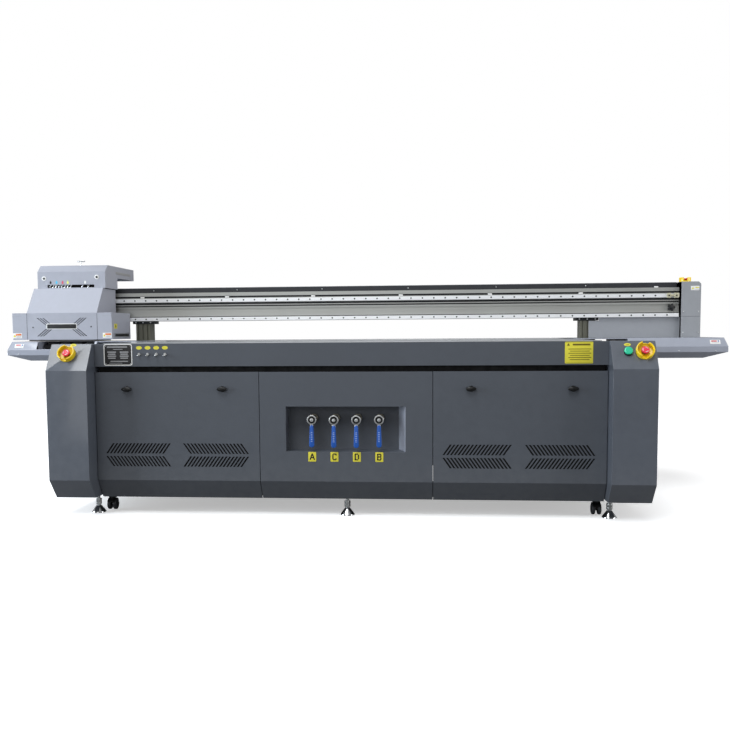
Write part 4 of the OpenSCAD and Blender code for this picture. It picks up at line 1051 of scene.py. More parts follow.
@dataclass
class Valves(Assembly):
    """Four suction ball valves: plated bodies with hexagon ends and dipped levers.

    Args:
        body_radius: radius of a valve body.
        sleeve_width: width of a lever's sleeve.
        levers: the valves' letters, from the left.
    """

    body_radius: float = 0.019
    sleeve_width: float = 0.028
    levers: tuple[str, ...] = ("a", "c", "d", "b")

    def build(self) -> None:
        """Makes the bodies behind the levers and the levers themselves."""
        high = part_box("ball_valves")[1]
        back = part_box("centre_panel")[0].y + RECESS_DEPTH
        shapes, nuts, pipes = [], [], []
        for key in self.levers:
            low_l, high_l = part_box("valve_lever_" + key)
            x = (low_l.x + high_l.x) / 2
            z = high_l.z - 0.025
            face = high_l.y
            shapes.append(self._body(back - face - 0.004).put(Facing.FRONT, (x, back - 0.001, z)))
            nuts.append(hex_nut(0.042, 0.016, 0.018).put(Facing.FRONT, (x, back - 0.001, z)))
            nuts.append(hex_nut(0.038, 0.012, 0.010).put(Facing.FRONT, (x, face + 0.036, z)))
            riser = high.y - 0.020
            pipes.append(self._elbow(x, z, back, riser, high.z))
            self._lever(key, x, z, face)
        self.piece("valve_bodies", joined(shapes), Finishes.brass, stands_for=("ball_valves",))
        self.piece("valve_nuts", joined(nuts), Finishes.brass)
        self.piece("suction_pipes", joined(pipes), Finishes.frame)

    def _body(self, length: float) -> Shape:
        """A valve body: flared ends, a ball's swell in the middle and a slim stem in front."""
        r, n = self.body_radius, length
        return lathe([(r * 0.95, 0.0), (r * 0.95, n * 0.16), (r * 0.72, n * 0.2), (r * 0.85, n * 0.3),
                      (r, n * 0.42), (r * 0.85, n * 0.54), (r * 0.6, n * 0.6), (r * 0.6, n * 0.74),
                      (0.008, n * 0.76), (0.008, n)], 40)

    def _elbow(self, x: float, z: float, back: float, riser: float, top: float) -> Shape:
        """A pipe that leaves the recess, turns through a quarter circle and rises to the table.

        Args:
            x: across the printer.
            z: height of the valve's axis.
            back: the recess's back.
            riser: where the pipe rises.
            top: the pipe's upper end.
        Returns:
            The pipe.
        """
        bend = 0.018
        a = np.linspace(0, math.pi / 2, 10)
        curve = np.column_stack([np.full(10, x), riser - bend + bend * np.sin(a),
                                 z + bend - bend * np.cos(a)])
        path = np.vstack([[x, back + 0.001, z], curve, [x, riser, top]])
        return tube(path, 0.0196, 24)

    def _lever(self, key: str, x: float, z: float, face: float) -> None:
        """A stamped ring and strap with a dipped sleeve that is thicker towards its end.

        Args:
            key: the valve's letter.
            x: across the printer.
            z: height of the valve's axis.
            face: the front of the valve's stem.
        """
        rides = "valve_lever_" + key
        band = ring(0.025, 0.019, 0.006, 0.0015, 48).put(Facing.FRONT, (x, face - 0.0002, z))
        web = lathe([(0.0195, 0.0), (0.0195, 0.0014), (0.0, 0.0016)], 40).put(Facing.FRONT,
                                                                              (x, face - 0.0002, z))
        nut = hex_nut(0.017, 0.007, 0.005).put(Facing.FRONT, (x, face - 0.001, z))
        tip = lathe([(0.005, 0.0), (0.005, 0.009), (0.004, 0.0098), (0.0, 0.010)],
                    20).put(Facing.FRONT, (x, face - 0.001, z))
        neck = block((x - 0.008, face - 0.0048, z - 0.046), (x + 0.008, face - 0.0006, z - 0.022), 0.0012)
        self.piece("lever_plate_" + key, band + neck, Finishes.zinc, rides, (rides,))
        self.piece("lever_web_" + key, web, Finishes.bolt, rides)
        self.piece("lever_nut_" + key, nut + tip, Finishes.zinc, rides)
        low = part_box(rides)[0].z
        w = self.sleeve_width
        tall = z - 0.0265 - low
        outline = round_rect(w, tall, w * 0.48, 8)
        # The sleeve widens from two thirds of its width under the ring to all of it at its lower end.
        outline[:, 0] *= 0.83 - 0.34 * outline[:, 1] / tall
        middle_z = (z - 0.0265 + low) / 2
        sleeve = stack(outline, edge_levels(0.0116, 0.004, 4, lower=True)).put(Facing.FRONT,
                                                                               (x, face + 0.0009, middle_z))
        self.piece("lever_sleeve_" + key, sleeve, Finishes.vinyl, rides, smooth=60)
        bars = slab(0.0085, 0.0034, 0.0004, 0.001, 0.0001).put(Facing.FRONT,
                                                               (x, face - 0.0106, middle_z + 0.020))
        rows = np.column_stack([np.zeros(6), np.zeros(6), np.arange(6) * -0.0092])
        self.piece("lever_marks_" + key, bars.copies(rows), Finishes.ink_sky, rides)


# ---------------------------------------------------------------- latches, switches, toggles


@dataclass
class Latches(Assembly):
    """Quarter-turn latches: an oval wing with a raised grip on a round seat.

    Args:
        count: how many latches there are.
    """

    count: int = 4

    def build(self) -> None:
        """Makes each latch on its own body."""
        for number in range(1, self.count + 1):
            name = f"latch_{number}"
            low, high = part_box(name)
            x, z = (low.x + high.x) / 2, low.z + 0.024
            half, front = (high.x - low.x) / 2, low.y
            a = np.arange(64) * 2 * math.pi / 64
            oval = np.column_stack([np.cos(a) * half, np.sin(a) * 0.0118])
            wing = stack(oval,
                         [(0.0, 0.0012), (0.003, 0.0), (0.009, 0.0004), (0.0124, 0.0016), (0.0138, 0.0044)])
            grip = stack(oval * [0.55, 0.36], [(0.0, 0.0), (0.0018, 0.0002), (0.0028, 0.0012)])
            seat = lathe([(0.0155, 0.0), (0.0155, 0.003), (0.014, 0.0052), (0.0105, 0.0055),
                          (0.0105, 0.0065)], 36)
            placed = wing.put(Facing.FRONT, (x, front + 0.0142, z)) + seat.put(Facing.FRONT,
                                                                               (x, front + 0.0194, z))
            self.piece(name + "_wing", placed, Finishes.latch, name, (name,), smooth=50)
            self.piece(name + "_grip", grip.put(Facing.FRONT, (x, front + 0.0030, z)), Finishes.latch, name,
                       smooth=50)
            stem = lathe([(0.009, 0.0), (0.009, 0.016)], 24).put(Facing.BACK, (x, front + 0.014, z))
            cam = block((x - 0.011, high.y - 0.003, low.z), (x + 0.011, high.y, low.z + 0.036), 0.0008)
            self.piece(name + "_cam", stem + cam, Finishes.zinc, name)


@dataclass
class Switches(Assembly):
    """Emergency stops, the start button and the zone toggles.

    Args:
        seats: middle of each slope switch on the slope, by name.
    """

    seats: dict[str, Triple] = field(default_factory=lambda: {
        "left": (-1.434, SEAT_Y, SEAT_Z), "right": (1.473, SEAT_Y, SEAT_Z), "start": (1.395, SEAT_Y, SEAT_Z)})

    def build(self) -> None:
        """Makes each switch."""
        for key in ("left", "right"):
            self._stop(key, Facing.SLOPE, self.seats[key], 0.044, 0.028, "root", "estop_button_" + key)
        low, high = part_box("gantry_estop_guard")
        top = ((low.x + high.x) / 2, (low.y + high.y) / 2, low.z)
        self._stop("gantry", Facing.UP, top, (high.x - low.x) / 2, high.z - low.z, "gantry",
                   "gantry_estop_button")
        self._start()
        self._toggles()

    def _guard(self, radius: float, height: float) -> Shape:
        """A shroud cup: wall stations around a circle, lowered where two finger notches cut it.

        The wall's top height is the full height, less a smooth dip of 72% around two opposite angles.

        Args:
            radius: outer radius.
            height: full height of its wall.
        Returns:
            The cup, standing on its own Z = 0.
        """
        count, r, h = 96, radius, height
        a = np.arange(count) * 2 * math.pi / count
        dip = np.clip((np.cos(2 * (a - math.radians(82))) - 0.70) / 0.16, 0, 1)
        top = h * (1 - 0.72 * dip)
        profile = [(0.012, 0.0 * a), (r, 0.0 * a), (r, top - 0.0012), (r - 0.0004, top - 0.0003),
                   (r - 0.0012, top), (r - 0.0052, top), (r - 0.006, top - 0.0012),
                   (r - 0.006, 0.0055 + 0 * a), (r - 0.008, 0.0042 + 0 * a), (0.012, 0.0042 + 0 * a)]
        rings = np.stack([np.column_stack([np.cos(a) * q, np.sin(a) * q, z]) for q, z in profile], axis=1)
        return torus_like(rings)

    def _stop(self, key: str, facing: Facing, at: Triple, radius: float, height: float, seat_body: str,
              button: str) -> None:
        """A red mushroom button in a notched yellow guard.

        Args:
            key: the switch's name.
            facing: the way that it looks.
            at: the middle of its seat.
            radius: the guard's radius.
            height: the guard's height.
            seat_body: the body that the guard rides.
            button: the button's node and body.
        """
        guard_node = ("gantry_estop_guard",) if key == "gantry" else ()
        self.piece(f"stop_guard_{key}", self._guard(radius, height).put(facing, at), Finishes.yellow,
                   seat_body,
                   guard_node)
        collar = lathe([(0.0118, -0.0040), (0.0118, 0.0), (0.0172, 0.0), (0.0172, 0.003), (0.0155, 0.0042),
                        (0.0118, 0.0042)], 40)
        base = np.array(at) + 0.0042 * np.array(facing.value[2], float)
        self.piece(f"stop_collar_{key}", collar.put(facing, base), Finishes.black, seat_body)
        seat = 0.014
        r = 0.020
        head = lathe([(0.0098, -0.0062), (0.0098, 0.0), (r - 0.002, 0.0), (r - 0.0004, 0.0008), (r, 0.0022),
                      (r, 0.0055), (r - 0.0008, 0.0068), (r - 0.003, 0.0079), (r * 0.6, 0.0088),
                      (r * 0.3, 0.0090), (0.0, 0.0090)], 48)
        place = np.array(at) + seat * np.array(facing.value[2], float)
        self.piece(f"stop_button_{key}", head.put(facing, place), Finishes.red, button, (button,), smooth=50)
        arrow = self._arrow()
        arrows = joined([arrow.put(Facing.UP, (0, 0, 0), 120 * k) for k in range(3)])
        on_top = place + 0.0089 * np.array(facing.value[2], float)
        self.piece(f"stop_arrows_{key}", arrows.put(facing, on_top), Finishes.paper_white, button)

    def _arrow(self) -> Shape:
        """A curved release arrow: an arc of a ring with a pointed end, lying flat."""
        a = np.linspace(math.radians(20), math.radians(95), 14)
        half = np.full(14, 0.0009)
        half[-5:] = np.linspace(0.0021, 0.0001, 5)
        outer = np.column_stack([np.cos(a), np.sin(a)]) * (0.0128 + half)[:, None]
        inner = np.column_stack([np.cos(a), np.sin(a)]) * (0.0128 - half)[:, None]
        outline = np.vstack([outer, inner[::-1]])
        return stack(outline, [(-0.0004, 0.0), (0.0002, 0.0)])

    def _start(self) -> None:
        """The green start button, proud of its black seat: a dark collar that also paints the shadow ring
        under the cap.
        """
        at = np.array(self.seats["start"])
        bezel = ring(0.0220, 0.0173, 0.0050, 0.0016, 48).put(Facing.SLOPE, at)
        self.piece("start_bezel", bezel, Finishes.black)
        r = 0.0208
        cap = lathe([(0.0098, -0.020), (0.0098, 0.0085), (r - 0.0003, 0.0085), (r, 0.0095), (r, 0.0140),
                     (r - 0.0010, 0.0156), (r - 0.0038, 0.0164), (r * 0.5, 0.0160), (0.0, 0.0158)], 44)
        self.piece("start_cap", cap.put(Facing.SLOPE, at), Finishes.green, "start_button",
                   ("start_button",), smooth=50)

    def _toggles(self) -> None:
        """Bat-handled toggles with a hexagon nut, a threaded bushing and an oval legend above each."""
        nuts, legends = [], []
        for number in range(1, TOGGLES + 1):
            name = f"toggle_{number}"
            place = joint_place(name + "_flip")
            x, z = place[0], place[2]
            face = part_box("front_apron")[0].y
            nuts.append(hex_nut(0.0150, 0.003, 0.0062).put(Facing.FRONT, (x, face, z)))
            nuts.append(threaded(0.0062, 0.0005, 0.0012, 0.0, 0.0072).put(Facing.FRONT, (x, face, z)))
            legends.append(flat(circle(1.0, 40) * [0.0155, 0.0092],
                                0.0005).put(Facing.FRONT, (x, face + 0.0001, z + 0.034)))
            tilt = math.radians(12)
            bat = lathe([(0.0045, -0.003), (0.0048, 0.0), (0.0040, 0.004), (0.0021, 0.006), (0.0021, 0.016),
                         (0.0030, 0.024), (0.0037, 0.0295), (0.0034, 0.0308), (0.0020, 0.0316),
                         (0.0, 0.0318)], 24)
            # The bat leans down from its pivot by half of its throw.
            c, s = math.cos(tilt), math.sin(tilt)
            p = bat.points
            turned = np.column_stack([p[:, 0], -p[:, 2] * c - p[:, 1] * s, p[:, 1] * c - p[:, 2] * s])
            self.piece(name + "_bat", Shape(turned + place, bat.faces), Finishes.chrome, name, (name,),
                       smooth=50)
        self.piece("toggle_nuts", joined(nuts), Finishes.zinc)
        self.piece("toggle_legends", joined(legends), Finishes.paper_yellow)
        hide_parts("switch_guards")


# ---------------------------------------------------------------- feet, casters, table


@dataclass
class Feet(Assembly):
    """Chromed levelling feet on threaded studs.

    Args:
        pad_radius: radius of a foot's pad.
        stud_radius: radius of its stud.
        stud_top: height of the stud's top end.
        reach: how far the corner feet stand from the printer's middle, across and along.
    """

    pad_radius: float = 0.037
    stud_radius: float = 0.008
    stud_top: float = 0.098
    reach: tuple[float, float] = (1.346, 0.881)

    def build(self) -> None:
        """Makes six feet as one piece for each part."""
        x, y = self.reach
        places = np.array([(sx * x, sy * y, 0.0) for sx in (-1, 0, 1) for sy in (-1, 1)])
        r = self.pad_radius
        pad = lathe([(r - 0.002, 0.0005), (r, 0.002), (r, 0.0052), (r - 0.0008, 0.0064), (r - 0.002, 0.0078),
                     (0.0305, 0.0145), (0.0250, 0.0220), (0.0190, 0.0295), (0.0140, 0.0355), (0.0110, 0.0385),
                     (0.0085, 0.0400)], 56)
        sole = lathe([(r - 0.004, 0.0), (r - 0.003, 0.0), (r - 0.0026, 0.0012), (0.0, 0.0012)], 40)
        stud = threaded(self.stud_radius, 0.0009, 0.0025, 0.038, self.stud_top)
        nut = hex_nut(0.028, 0.014, 0.0085)
        self.piece("foot_pads", pad.copies(places), Finishes.chrome, stands_for=("levelling_feet",))
        self.piece("foot_soles", sole.copies(places), Finishes.rubber)
        self.piece("foot_studs", stud.copies(places), Finishes.zinc)
        self.piece("foot_nuts", nut.copies(places + [0, 0, 0.043]) + nut.copies(places + [0, 0, 0.060]),
                   Finishes.zinc)


@dataclass
class Casters(Assembly):
    """Twin-wheel casters: moulded hoods, ball races, treads and hubs.

    Args:
        plate_half: half the width of a rear caster's plate.
        wheel_radius: radius of a wheel.
        wheel_width: width of one of the two discs.
        spread: distance of a disc's middle from the caster's middle.
    """

    plate_half: float = 0.030
    wheel_radius: float = 0.030
    wheel_width: float = 0.017
    spread: float = 0.0155

    def build(self) -> None:
        """Makes the forks and the wheels."""
        for end in ("front", "rear"):
            for side in ("left", "right"):
                self._wheel(end, side)
        for side, sign in (("left", -1), ("right", 1)):
            node = "caster_fork_" + side
            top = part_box(node)[1].z
            self._fork(node, node, joint_place(f"caster_{side}_swivel"), joint_place(f"caster_{side}_roll"),
                       top)
            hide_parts(node)
            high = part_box("rear_caster_forks")[1]
            axis = np.array([sign * (high.x - self.plate_half), high.y - self.plate_half, 0.0])
            self._fork("rear_fork_" + side, "root", axis, joint_place(f"caster_rear_{side}_roll"), high.z)
        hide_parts("rear_caster_forks")

    def _fork(self, name: str, body: str, axis: Array, axle: Array, top: float) -> None:
        """A web between the discs, a hood and a curved fender over them, and a ball race above.

        Args:
            name: start of the pieces' names.
            body: the body that they ride.
            axis: a point on the swivel's axis.
            axle: the middle of the wheel's axle.
            top: height of the fork's top.
        """
        x, rear = axis[0], body == "root"
        y0, y1 = min(axis[1], axle[1]) - 0.012, max(axis[1], axle[1]) + 0.012
        half = self.spread + 0.006
        hood = block((x - half, y0, top - 0.031), (x + half, y1, top - 0.0125), 0.006)
        web = block((x - 0.0058, y0 + 0.001, axle[2] - 0.008), (x + 0.0058, y1 - 0.001, top - 0.014), 0.003)
        angle = np.radians(np.linspace(24, 156, 20))
        over, under = self.wheel_radius + 0.0035, self.wheel_radius + 0.0014
        corners = [(-half, under), (half, under), (half, over), (-half, over)]
        fender = loft(np.stack([np.column_stack([np.full(20, x + w), axle[1] + q * np.cos(angle),
                                                 axle[2] + q * np.sin(angle)])
                                for w, q in corners], axis=1))
        race = lathe([(0.0195, 0.0), (0.0205, 0.002), (0.0205, 0.006), (0.0195, 0.0078), (0.018, 0.0085),
                      (0.018, 0.0128)], 40)
        self.piece(name + "_hood", hood + web, Finishes.black, body, smooth=50)
        self.piece(name + "_fender", fender, Finishes.black, body, smooth=50)
        self.piece(name + "_race", race.put(Facing.UP, (x, axis[1], top - 0.0135)), Finishes.zinc, body)
        if rear:
            plate = block((x - 0.030, axis[1] - 0.030, top - 0.0035), (x + 0.030, axis[1] + 0.030, top),
                          0.0012)
            self.piece(name + "_plate", plate, Finishes.zinc, body)

    def _wheel(self, end: str, side: str) -> None:
        """Two discs with rounded treads, ribbed hubs and an axle.

        Args:
            end: front or rear.
            side: left or right.
        """
        node = f"caster_wheel_{end}_{side}"
        at = middle(node)
        r, w = self.wheel_radius, self.wheel_width / 2
        tread = lathe([(r * 0.72, -w), (r - 0.004, -w), (r - 0.0012, -w + 0.0016), (r, -w + 0.005),
                       (r, w - 0.005), (r - 0.0012, w - 0.0016), (r - 0.004, w), (r * 0.72, w)], 48)
        hub = lathe([(r * 0.71, -w + 0.001), (r * 0.71, -w + 0.003), (r * 0.3, -w + 0.004),
                     (r * 0.3, w - 0.004), (r * 0.71, w - 0.003), (r * 0.71, w - 0.001)], 36)
        rib = block((-0.0012, 0.008, w - 0.0045), (0.0012, r * 0.70, w - 0.0015), 0.0004)
        ribs = joined([rib.put(Facing.UP, (0, 0, 0), 45 * k) for k in range(8)])
        cap = lathe([(0.0085, w - 0.0040), (0.0085, w - 0.0012), (0.0070, w), (0.0, w)], 28)
        outer = hub + ribs + cap
        left, right = at - [self.spread, 0, 0], at + [self.spread, 0, 0]
        self.piece(node + "_tread", tread.put(Facing.LEFT, left) + tread.put(Facing.RIGHT, right),
                   Finishes.rubber,
                   node, (node,), smooth=50)
        self.piece(node + "_hub", outer.put(Facing.LEFT, left) + outer.put(Facing.RIGHT, right),
                   Finishes.black, node)
        axle = lathe([(0.005, -0.018), (0.005, 0.018)], 20).put(Facing.RIGHT, at)
        self.piece(node + "_axle", axle, Finishes.zinc, node)


@dataclass
class Table(Assembly):
    """The vacuum table with its hole grid and zone lines, and what lies under it.

    Args:
        pitch: pitch of the suction holes.
        hole: radius of a suction hole.
        zones: how many zones lie side by side.
        margin: plain border around the zones.
    """

    pitch: float = 0.030
    hole: float = 0.0016
    zones: int = 4
    margin: float = 0.06

    def build(self) -> None:
        """Makes the table's details, the plenums and the blower."""
        self.folded("vacuum_bed", Finishes.bed, 0.0012)
        self._holes()
        self._plenums()
        self._blower()

    def _holes(self) -> None:
        """Dark discs on a grid, painted shade where the suction holes are, and a thin scribed line between
        zones.
        """
        low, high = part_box("vacuum_bed")
        x = np.arange(low.x + 0.075, high.x - 0.07, self.pitch)
        y = np.arange(low.y + 0.075, high.y - 0.07, self.pitch)
        grid = np.stack(np.meshgrid(x, y), axis=-1).reshape(-1, 2)
        at = np.column_stack([grid, np.full(len(grid), high.z + 0.00005)])
        hole_shade = Shape(np.column_stack([circle(self.hole, 8), np.full(8, 0.0)]), [np.arange(8).reshape(1, 8)])
        self.piece("suction_holes", hole_shade.copies(at), Finishes.soot)
        x0, x1, y0, y1 = low.x + self.margin, high.x - self.margin, low.y + self.margin, high.y - self.margin
        z0, z1, half = high.z - 0.0002, high.z + 0.0001, 0.0006
        width = (high.x - low.x - 2 * self.margin) / self.zones
        middles = [x0 + k * width for k in range(self.zones + 1)]
        lines = [block((mid - half, y0, z0), (mid + half, y1, z1), 0.0001) for mid in middles]
        lines += [block((x0, mid - half, z0), (x1, mid + half, z1), 0.0001) for mid in (y0, y1)]
        self.piece("zone_lines", joined(lines), Finishes.bolt)
        cups = ring(0.0062, 0.0041, 0.0006, 0.0003, 32)
        pins = np.array([(k * 0.8, -0.876, high.z - 0.0003) for k in (-1.5, -0.5, 0.5, 1.5)])
        self.piece("register_bushings", cups.copies(pins), Finishes.zinc)

    def _plenums(self) -> None:
        """Four folded suction boxes with ribs along their sides."""
        bed_low, bed_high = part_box("vacuum_bed")
        width = (bed_high.x - bed_low.x - 2 * self.margin) / self.zones
        shapes = []
        for k in range(self.zones):
            x0 = bed_low.x + self.margin + k * width + 0.002
            x1 = x0 + width - 0.004
            shapes.append(block((x0, bed_low.y + 0.030, 0.8002), (x1, bed_high.y - 0.030, bed_low.z), 0.003))
        self.piece("suction_boxes", joined(shapes), Finishes.tray, stands_for=("vacuum_system",))

    def _blower(self) -> None:
        """A side-channel blower: ribbed volute, finned motor, inlet collar, pedestal and base plate."""
        x, y, z = -0.760, 0.340, 0.360
        fins = []
        for k in range(9):
            at = 0.006 + k * 0.0215
            fins += [(0.138, at), (0.1495, at + 0.002), (0.1495, at + 0.006), (0.138, at + 0.008)]
        volute = lathe([(0.060, -0.030), (0.060, -0.002), (0.110, 0.0), (0.134, 0.003), *fins, (0.130, 0.198),
                        (0.060, 0.200)], 56)
        self.piece("blower_volute", volute.put(Facing.RIGHT, (x, y, z)), Finishes.pump)
        fins = []
        for k in range(10):
            at = 0.202 + k * 0.0118
            fins += [(0.062, at), (0.0695, at + 0.001), (0.0695, at + 0.004), (0.062, at + 0.005)]
        motor = lathe([(0.055, 0.200), *fins, (0.066, 0.322), (0.060, 0.329), (0.0, 0.330)], 40)
        self.piece("blower_motor", motor.put(Facing.RIGHT, (x, y, z)), Finishes.motor)
        stand = block((-0.740, 0.210, 0.171), (-0.580, 0.470, 0.262), 0.006)
        plate = block((-0.820, 0.140, 0.160), (-0.420, 0.540, 0.172), 0.003)
        self.piece("blower_stand", stand + plate, Finishes.frame)
        bolts = cap_screw(0.008, 0.008).copies(np.array([(i, j, 0.172) for i in (-0.79, -0.45)
                                                         for j in (0.17, 0.51)]))
        self.piece("blower_bolts", bolts, Finishes.zinc)


@dataclass
class LongAxis(Assembly):
    """The two guide rails and ball screws that the gantry travels on.

    Args:
        lead: lead of a ball screw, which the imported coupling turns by.
        bolt_pitch: pitch of the rail's bolts.
    """

    lead: float = 0.020
    bolt_pitch: float = 0.080

    def build(self) -> None:
        """Makes rails, screws and their mounts."""
        self.folded("y_axis_rails", Finishes.screw, 0.0008)
        low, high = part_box("y_axis_rails")
        y = np.arange(low.y + 0.04, high.y - 0.02, self.bolt_pitch)
        x = high.x - 0.015 - 0.0015
        head = cap_screw(0.0062, 0.0005) + ring(0.0082, 0.0064, 0.0003, 0.0001, 28)
        at = np.array([(side * x, k, high.z - 0.0001) for side in (-1, 1) for k in y])
        self.piece("y_rail_bolts", head.copies(at), Finishes.bolt)
        self.folded("y_screw_mounts", Finishes.motor, 0.003)
        mount_y = 0.870
        for side in ("left", "right"):
            node = "y_screw_" + side
            at = middle(node)
            rod = helix_rod(0.0125, 0.0016, self.lead, -0.861, 0.861).put(Facing.BACK, (at[0], 0.0, at[2]))
            stub = lathe([(0.0098, -0.878), (0.0098, 0.902)], 24).put(Facing.BACK, (at[0], 0.0, at[2]))
            self.piece(node + "_thread", rod + stub, Finishes.screw, node, (node,), smooth=70)
            bolts = cap_screw(0.0045, 0.0045).front()
            places = np.array([(at[0] + sx * 0.014, -mount_y - 0.008, at[2] + sz * 0.016) for sx in (-1, 1)
                               for sz in (-1, 1)])
            self.piece(node + "_mount_bolts", bolts.copies(places), Finishes.zinc)


# ---------------------------------------------------------------- gantry


@dataclass
class Gantry(Assembly):
    """The beam with its rails, cable trough, belt drive, legs, wings and end cover.

    Args:
        rail_bolts: pitch of the bolts along the guide rails.
        clip_pitch: pitch of the pale clips above the upper rail.
        clamp_span: inner and outer edge of a clamp plate, from the printer's middle.
        belt_pitch: pitch of the belt's teeth.
        pulley_teeth: teeth around a pulley.
    """

    body = "gantry"
    rail_bolts: float = 0.070
    clip_pitch: float = 0.5435
    clamp_span: tuple[float, float] = (1.3225, 1.4575)
    belt_pitch: float = 0.005
    pulley_teeth: int = 23

    def build(self) -> None:
        """Makes everything that rides the gantry."""
        self.folded("beam", Finishes.beam, 0.0012)
        self.folded("x_rails", Finishes.rail, 0.0006)
        self.folded("gantry_legs", Finishes.leg, 0.0012)
        self.folded("wing_left", Finishes.wing, 0.004)
        self.folded("wing_right", Finishes.wing, 0.004)
        self.folded("end_cover", Finishes.end, 0.003)
        self.folded("cable_trough", Finishes.trough, 0.0008)
        self.folded("x_motor", Finishes.motor, 0.003)
        self._beam_details()
        self._plates()
        self._chain()
        self._drive()
        self._wing_labels()
        self._end_details()

    def _beam_details(self) -> None:
        """Rail bolts, pale clips, the lock knob, the end stop and a clip on the trough."""
        low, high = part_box("x_rails")
        x = np.arange(low.x + 0.035, high.x - 0.02, self.rail_bolts)
        front = low.y
        heads, rims = [], []
        for z in (low.z + 0.011, high.z - 0.011):
            at = np.column_stack([x, np.full(len(x), front + 0.00005), np.full(len(x), z)])
            heads.append(cap_screw(0.0040, 0.0004).front().copies(at))
            rims.append(ring(0.0056, 0.0041, 0.0002, 0.0001, 24).front().copies(at))
        self.piece("x_rail_bolts", joined(heads), Finishes.bolt)
        self.piece("x_rail_rims", joined(rims), Finishes.zinc)
        face = high.y
        clips = block((-0.013, face - 0.003, 1.1785), (0.013, face + 0.0005, 1.1875), 0.002)
        places = np.array([(-1.391 + k * self.clip_pitch + 0.0045 * k, 0, 0) for k in range(6)])
        self.piece("beam_clips", clips.copies(places), Finishes.paper_white)
        knob = stack(lobed(0.023, 0.006, 5),
                     [(0.004, 0.003), (0.005, 0.0), (0.014, 0.0), (0.018, 0.0016), (0.020, 0.006)])
        hub = lathe([(0.009, 0.0), (0.009, 0.006), (0.008, 0.0215), (0.006, 0.023), (0.0, 0.023)], 28)
        self.piece("lock_knob", (knob + hub).put(Facing.FRONT, (1.885, face + 0.0005, 1.092)), Finishes.black,
                   smooth=50)
        stop = block((1.851, front - 0.007, 1.156), (1.926, front + 0.0002, 1.170), 0.003)
        stop = stop + block((1.854, front - 0.009, 1.148), (1.876, front + 0.0002, 1.178), 0.003)
        stop = stop + block((1.896, front - 0.009, 1.148), (1.923, front + 0.0002, 1.178), 0.003)
        pads = cap_screw(0.004, 0.003).front().copies(
            np.array([(1.865, front - 0.009, 1.163), (1.9095, front - 0.009, 1.163)]))
        self.piece("end_stop", stop, Finishes.beige)
        self.piece("end_stop_screws", pads, Finishes.bolt)
        # Black strips along the beam's grooves: painted shade of the grooves.
        covers = [block((low.x - 0.010, face - 0.0006, z0), (high.x + 0.004, face + 0.004, z1), 0.0005)
                  for z0, z1 in ((1.1795, 1.1905), (1.1375, 1.1490), (1.1235, 1.1310), (1.0578, 1.0622))]
        self.piece("slot_covers", joined(covers), Finishes.bolt)
        t_low, t_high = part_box("cable_trough")
        lip = block((t_low.x + 0.002, t_low.y - 0.0010, t_high.z - 0.0012),
                    (t_high.x - 0.002, t_low.y + 0.003, t_high.z + 0.0010), 0.0006)
        self.piece("trough_lip", lip, Finishes.end)
        clip = block((1.787, t_low.y - 0.004, 1.2115), (1.811, t_low.y + 0.0005, 1.2205), 0.0015)
        self.piece("trough_clip", clip, Finishes.paper_white)
        screws = pan_screw(0.0035).front()
        sx = np.arange(t_low.x + 0.12, t_high.x - 0.1, 0.54)
        at = np.column_stack([sx, np.full(len(sx), t_low.y + 0.0002), np.full(len(sx), 1.2275)])
        self.piece("trough_screws", screws.copies(at), Finishes.zinc)

    def _plates(self) -> None:
        """Black clamp plates between the posts and the beam, with their bolts."""
        shapes, bolts = [], []
        for side in (-1, 1):
            x0, x1 = sorted(side * edge for edge in self.clamp_span)
            shapes.append(block((x0, 0.0065, 1.0165), (x1, 0.1135, 1.0349), 0.0015))
            bolts += [(x0 + k, 0.0067, 1.0257) for k in (0.020, 0.067, 0.115)]
        self.piece("beam_clamp_plates", joined(shapes), Finishes.bolt)
        head = cap_screw(0.0042, 0.0006).front()
        self.piece("clamp_bolts", head.copies(np.array(bolts)), Finishes.zinc)

    def _chain(self) -> None:
        """The lower run of the cable chain, which lies in the trough as interlocked links."""
        low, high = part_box("cable_trough")
        pitch, half = 0.036, 0.021
        y = (low.y + high.y) / 2
        link = block((-half, y - 0.060, low.z + 0.0025), (half, y - 0.056, high.z - 0.006), 0.0015)
        link = link + block((-half, y + 0.056, low.z + 0.0025), (half, y + 0.060, high.z - 0.006), 0.0015)
        link = link + block((-0.007, y - 0.057, high.z - 0.0085), (0.007, y + 0.057, high.z - 0.0060), 0.001)
        link = link + lathe([(0.0070, 0.0), (0.0070, 0.0012), (0.0060, 0.0018), (0.0, 0.0018)], 16).put(
            Facing.FRONT, (half - 0.004, y - 0.060, (low.z + high.z) / 2 - 0.002))
        x = np.arange(low.x + 0.04, high.x - 0.04, pitch)
        self.piece("cable_chain", link.copies(np.column_stack([x, np.zeros(len(x)), np.zeros(len(x))])),
                   Finishes.black)

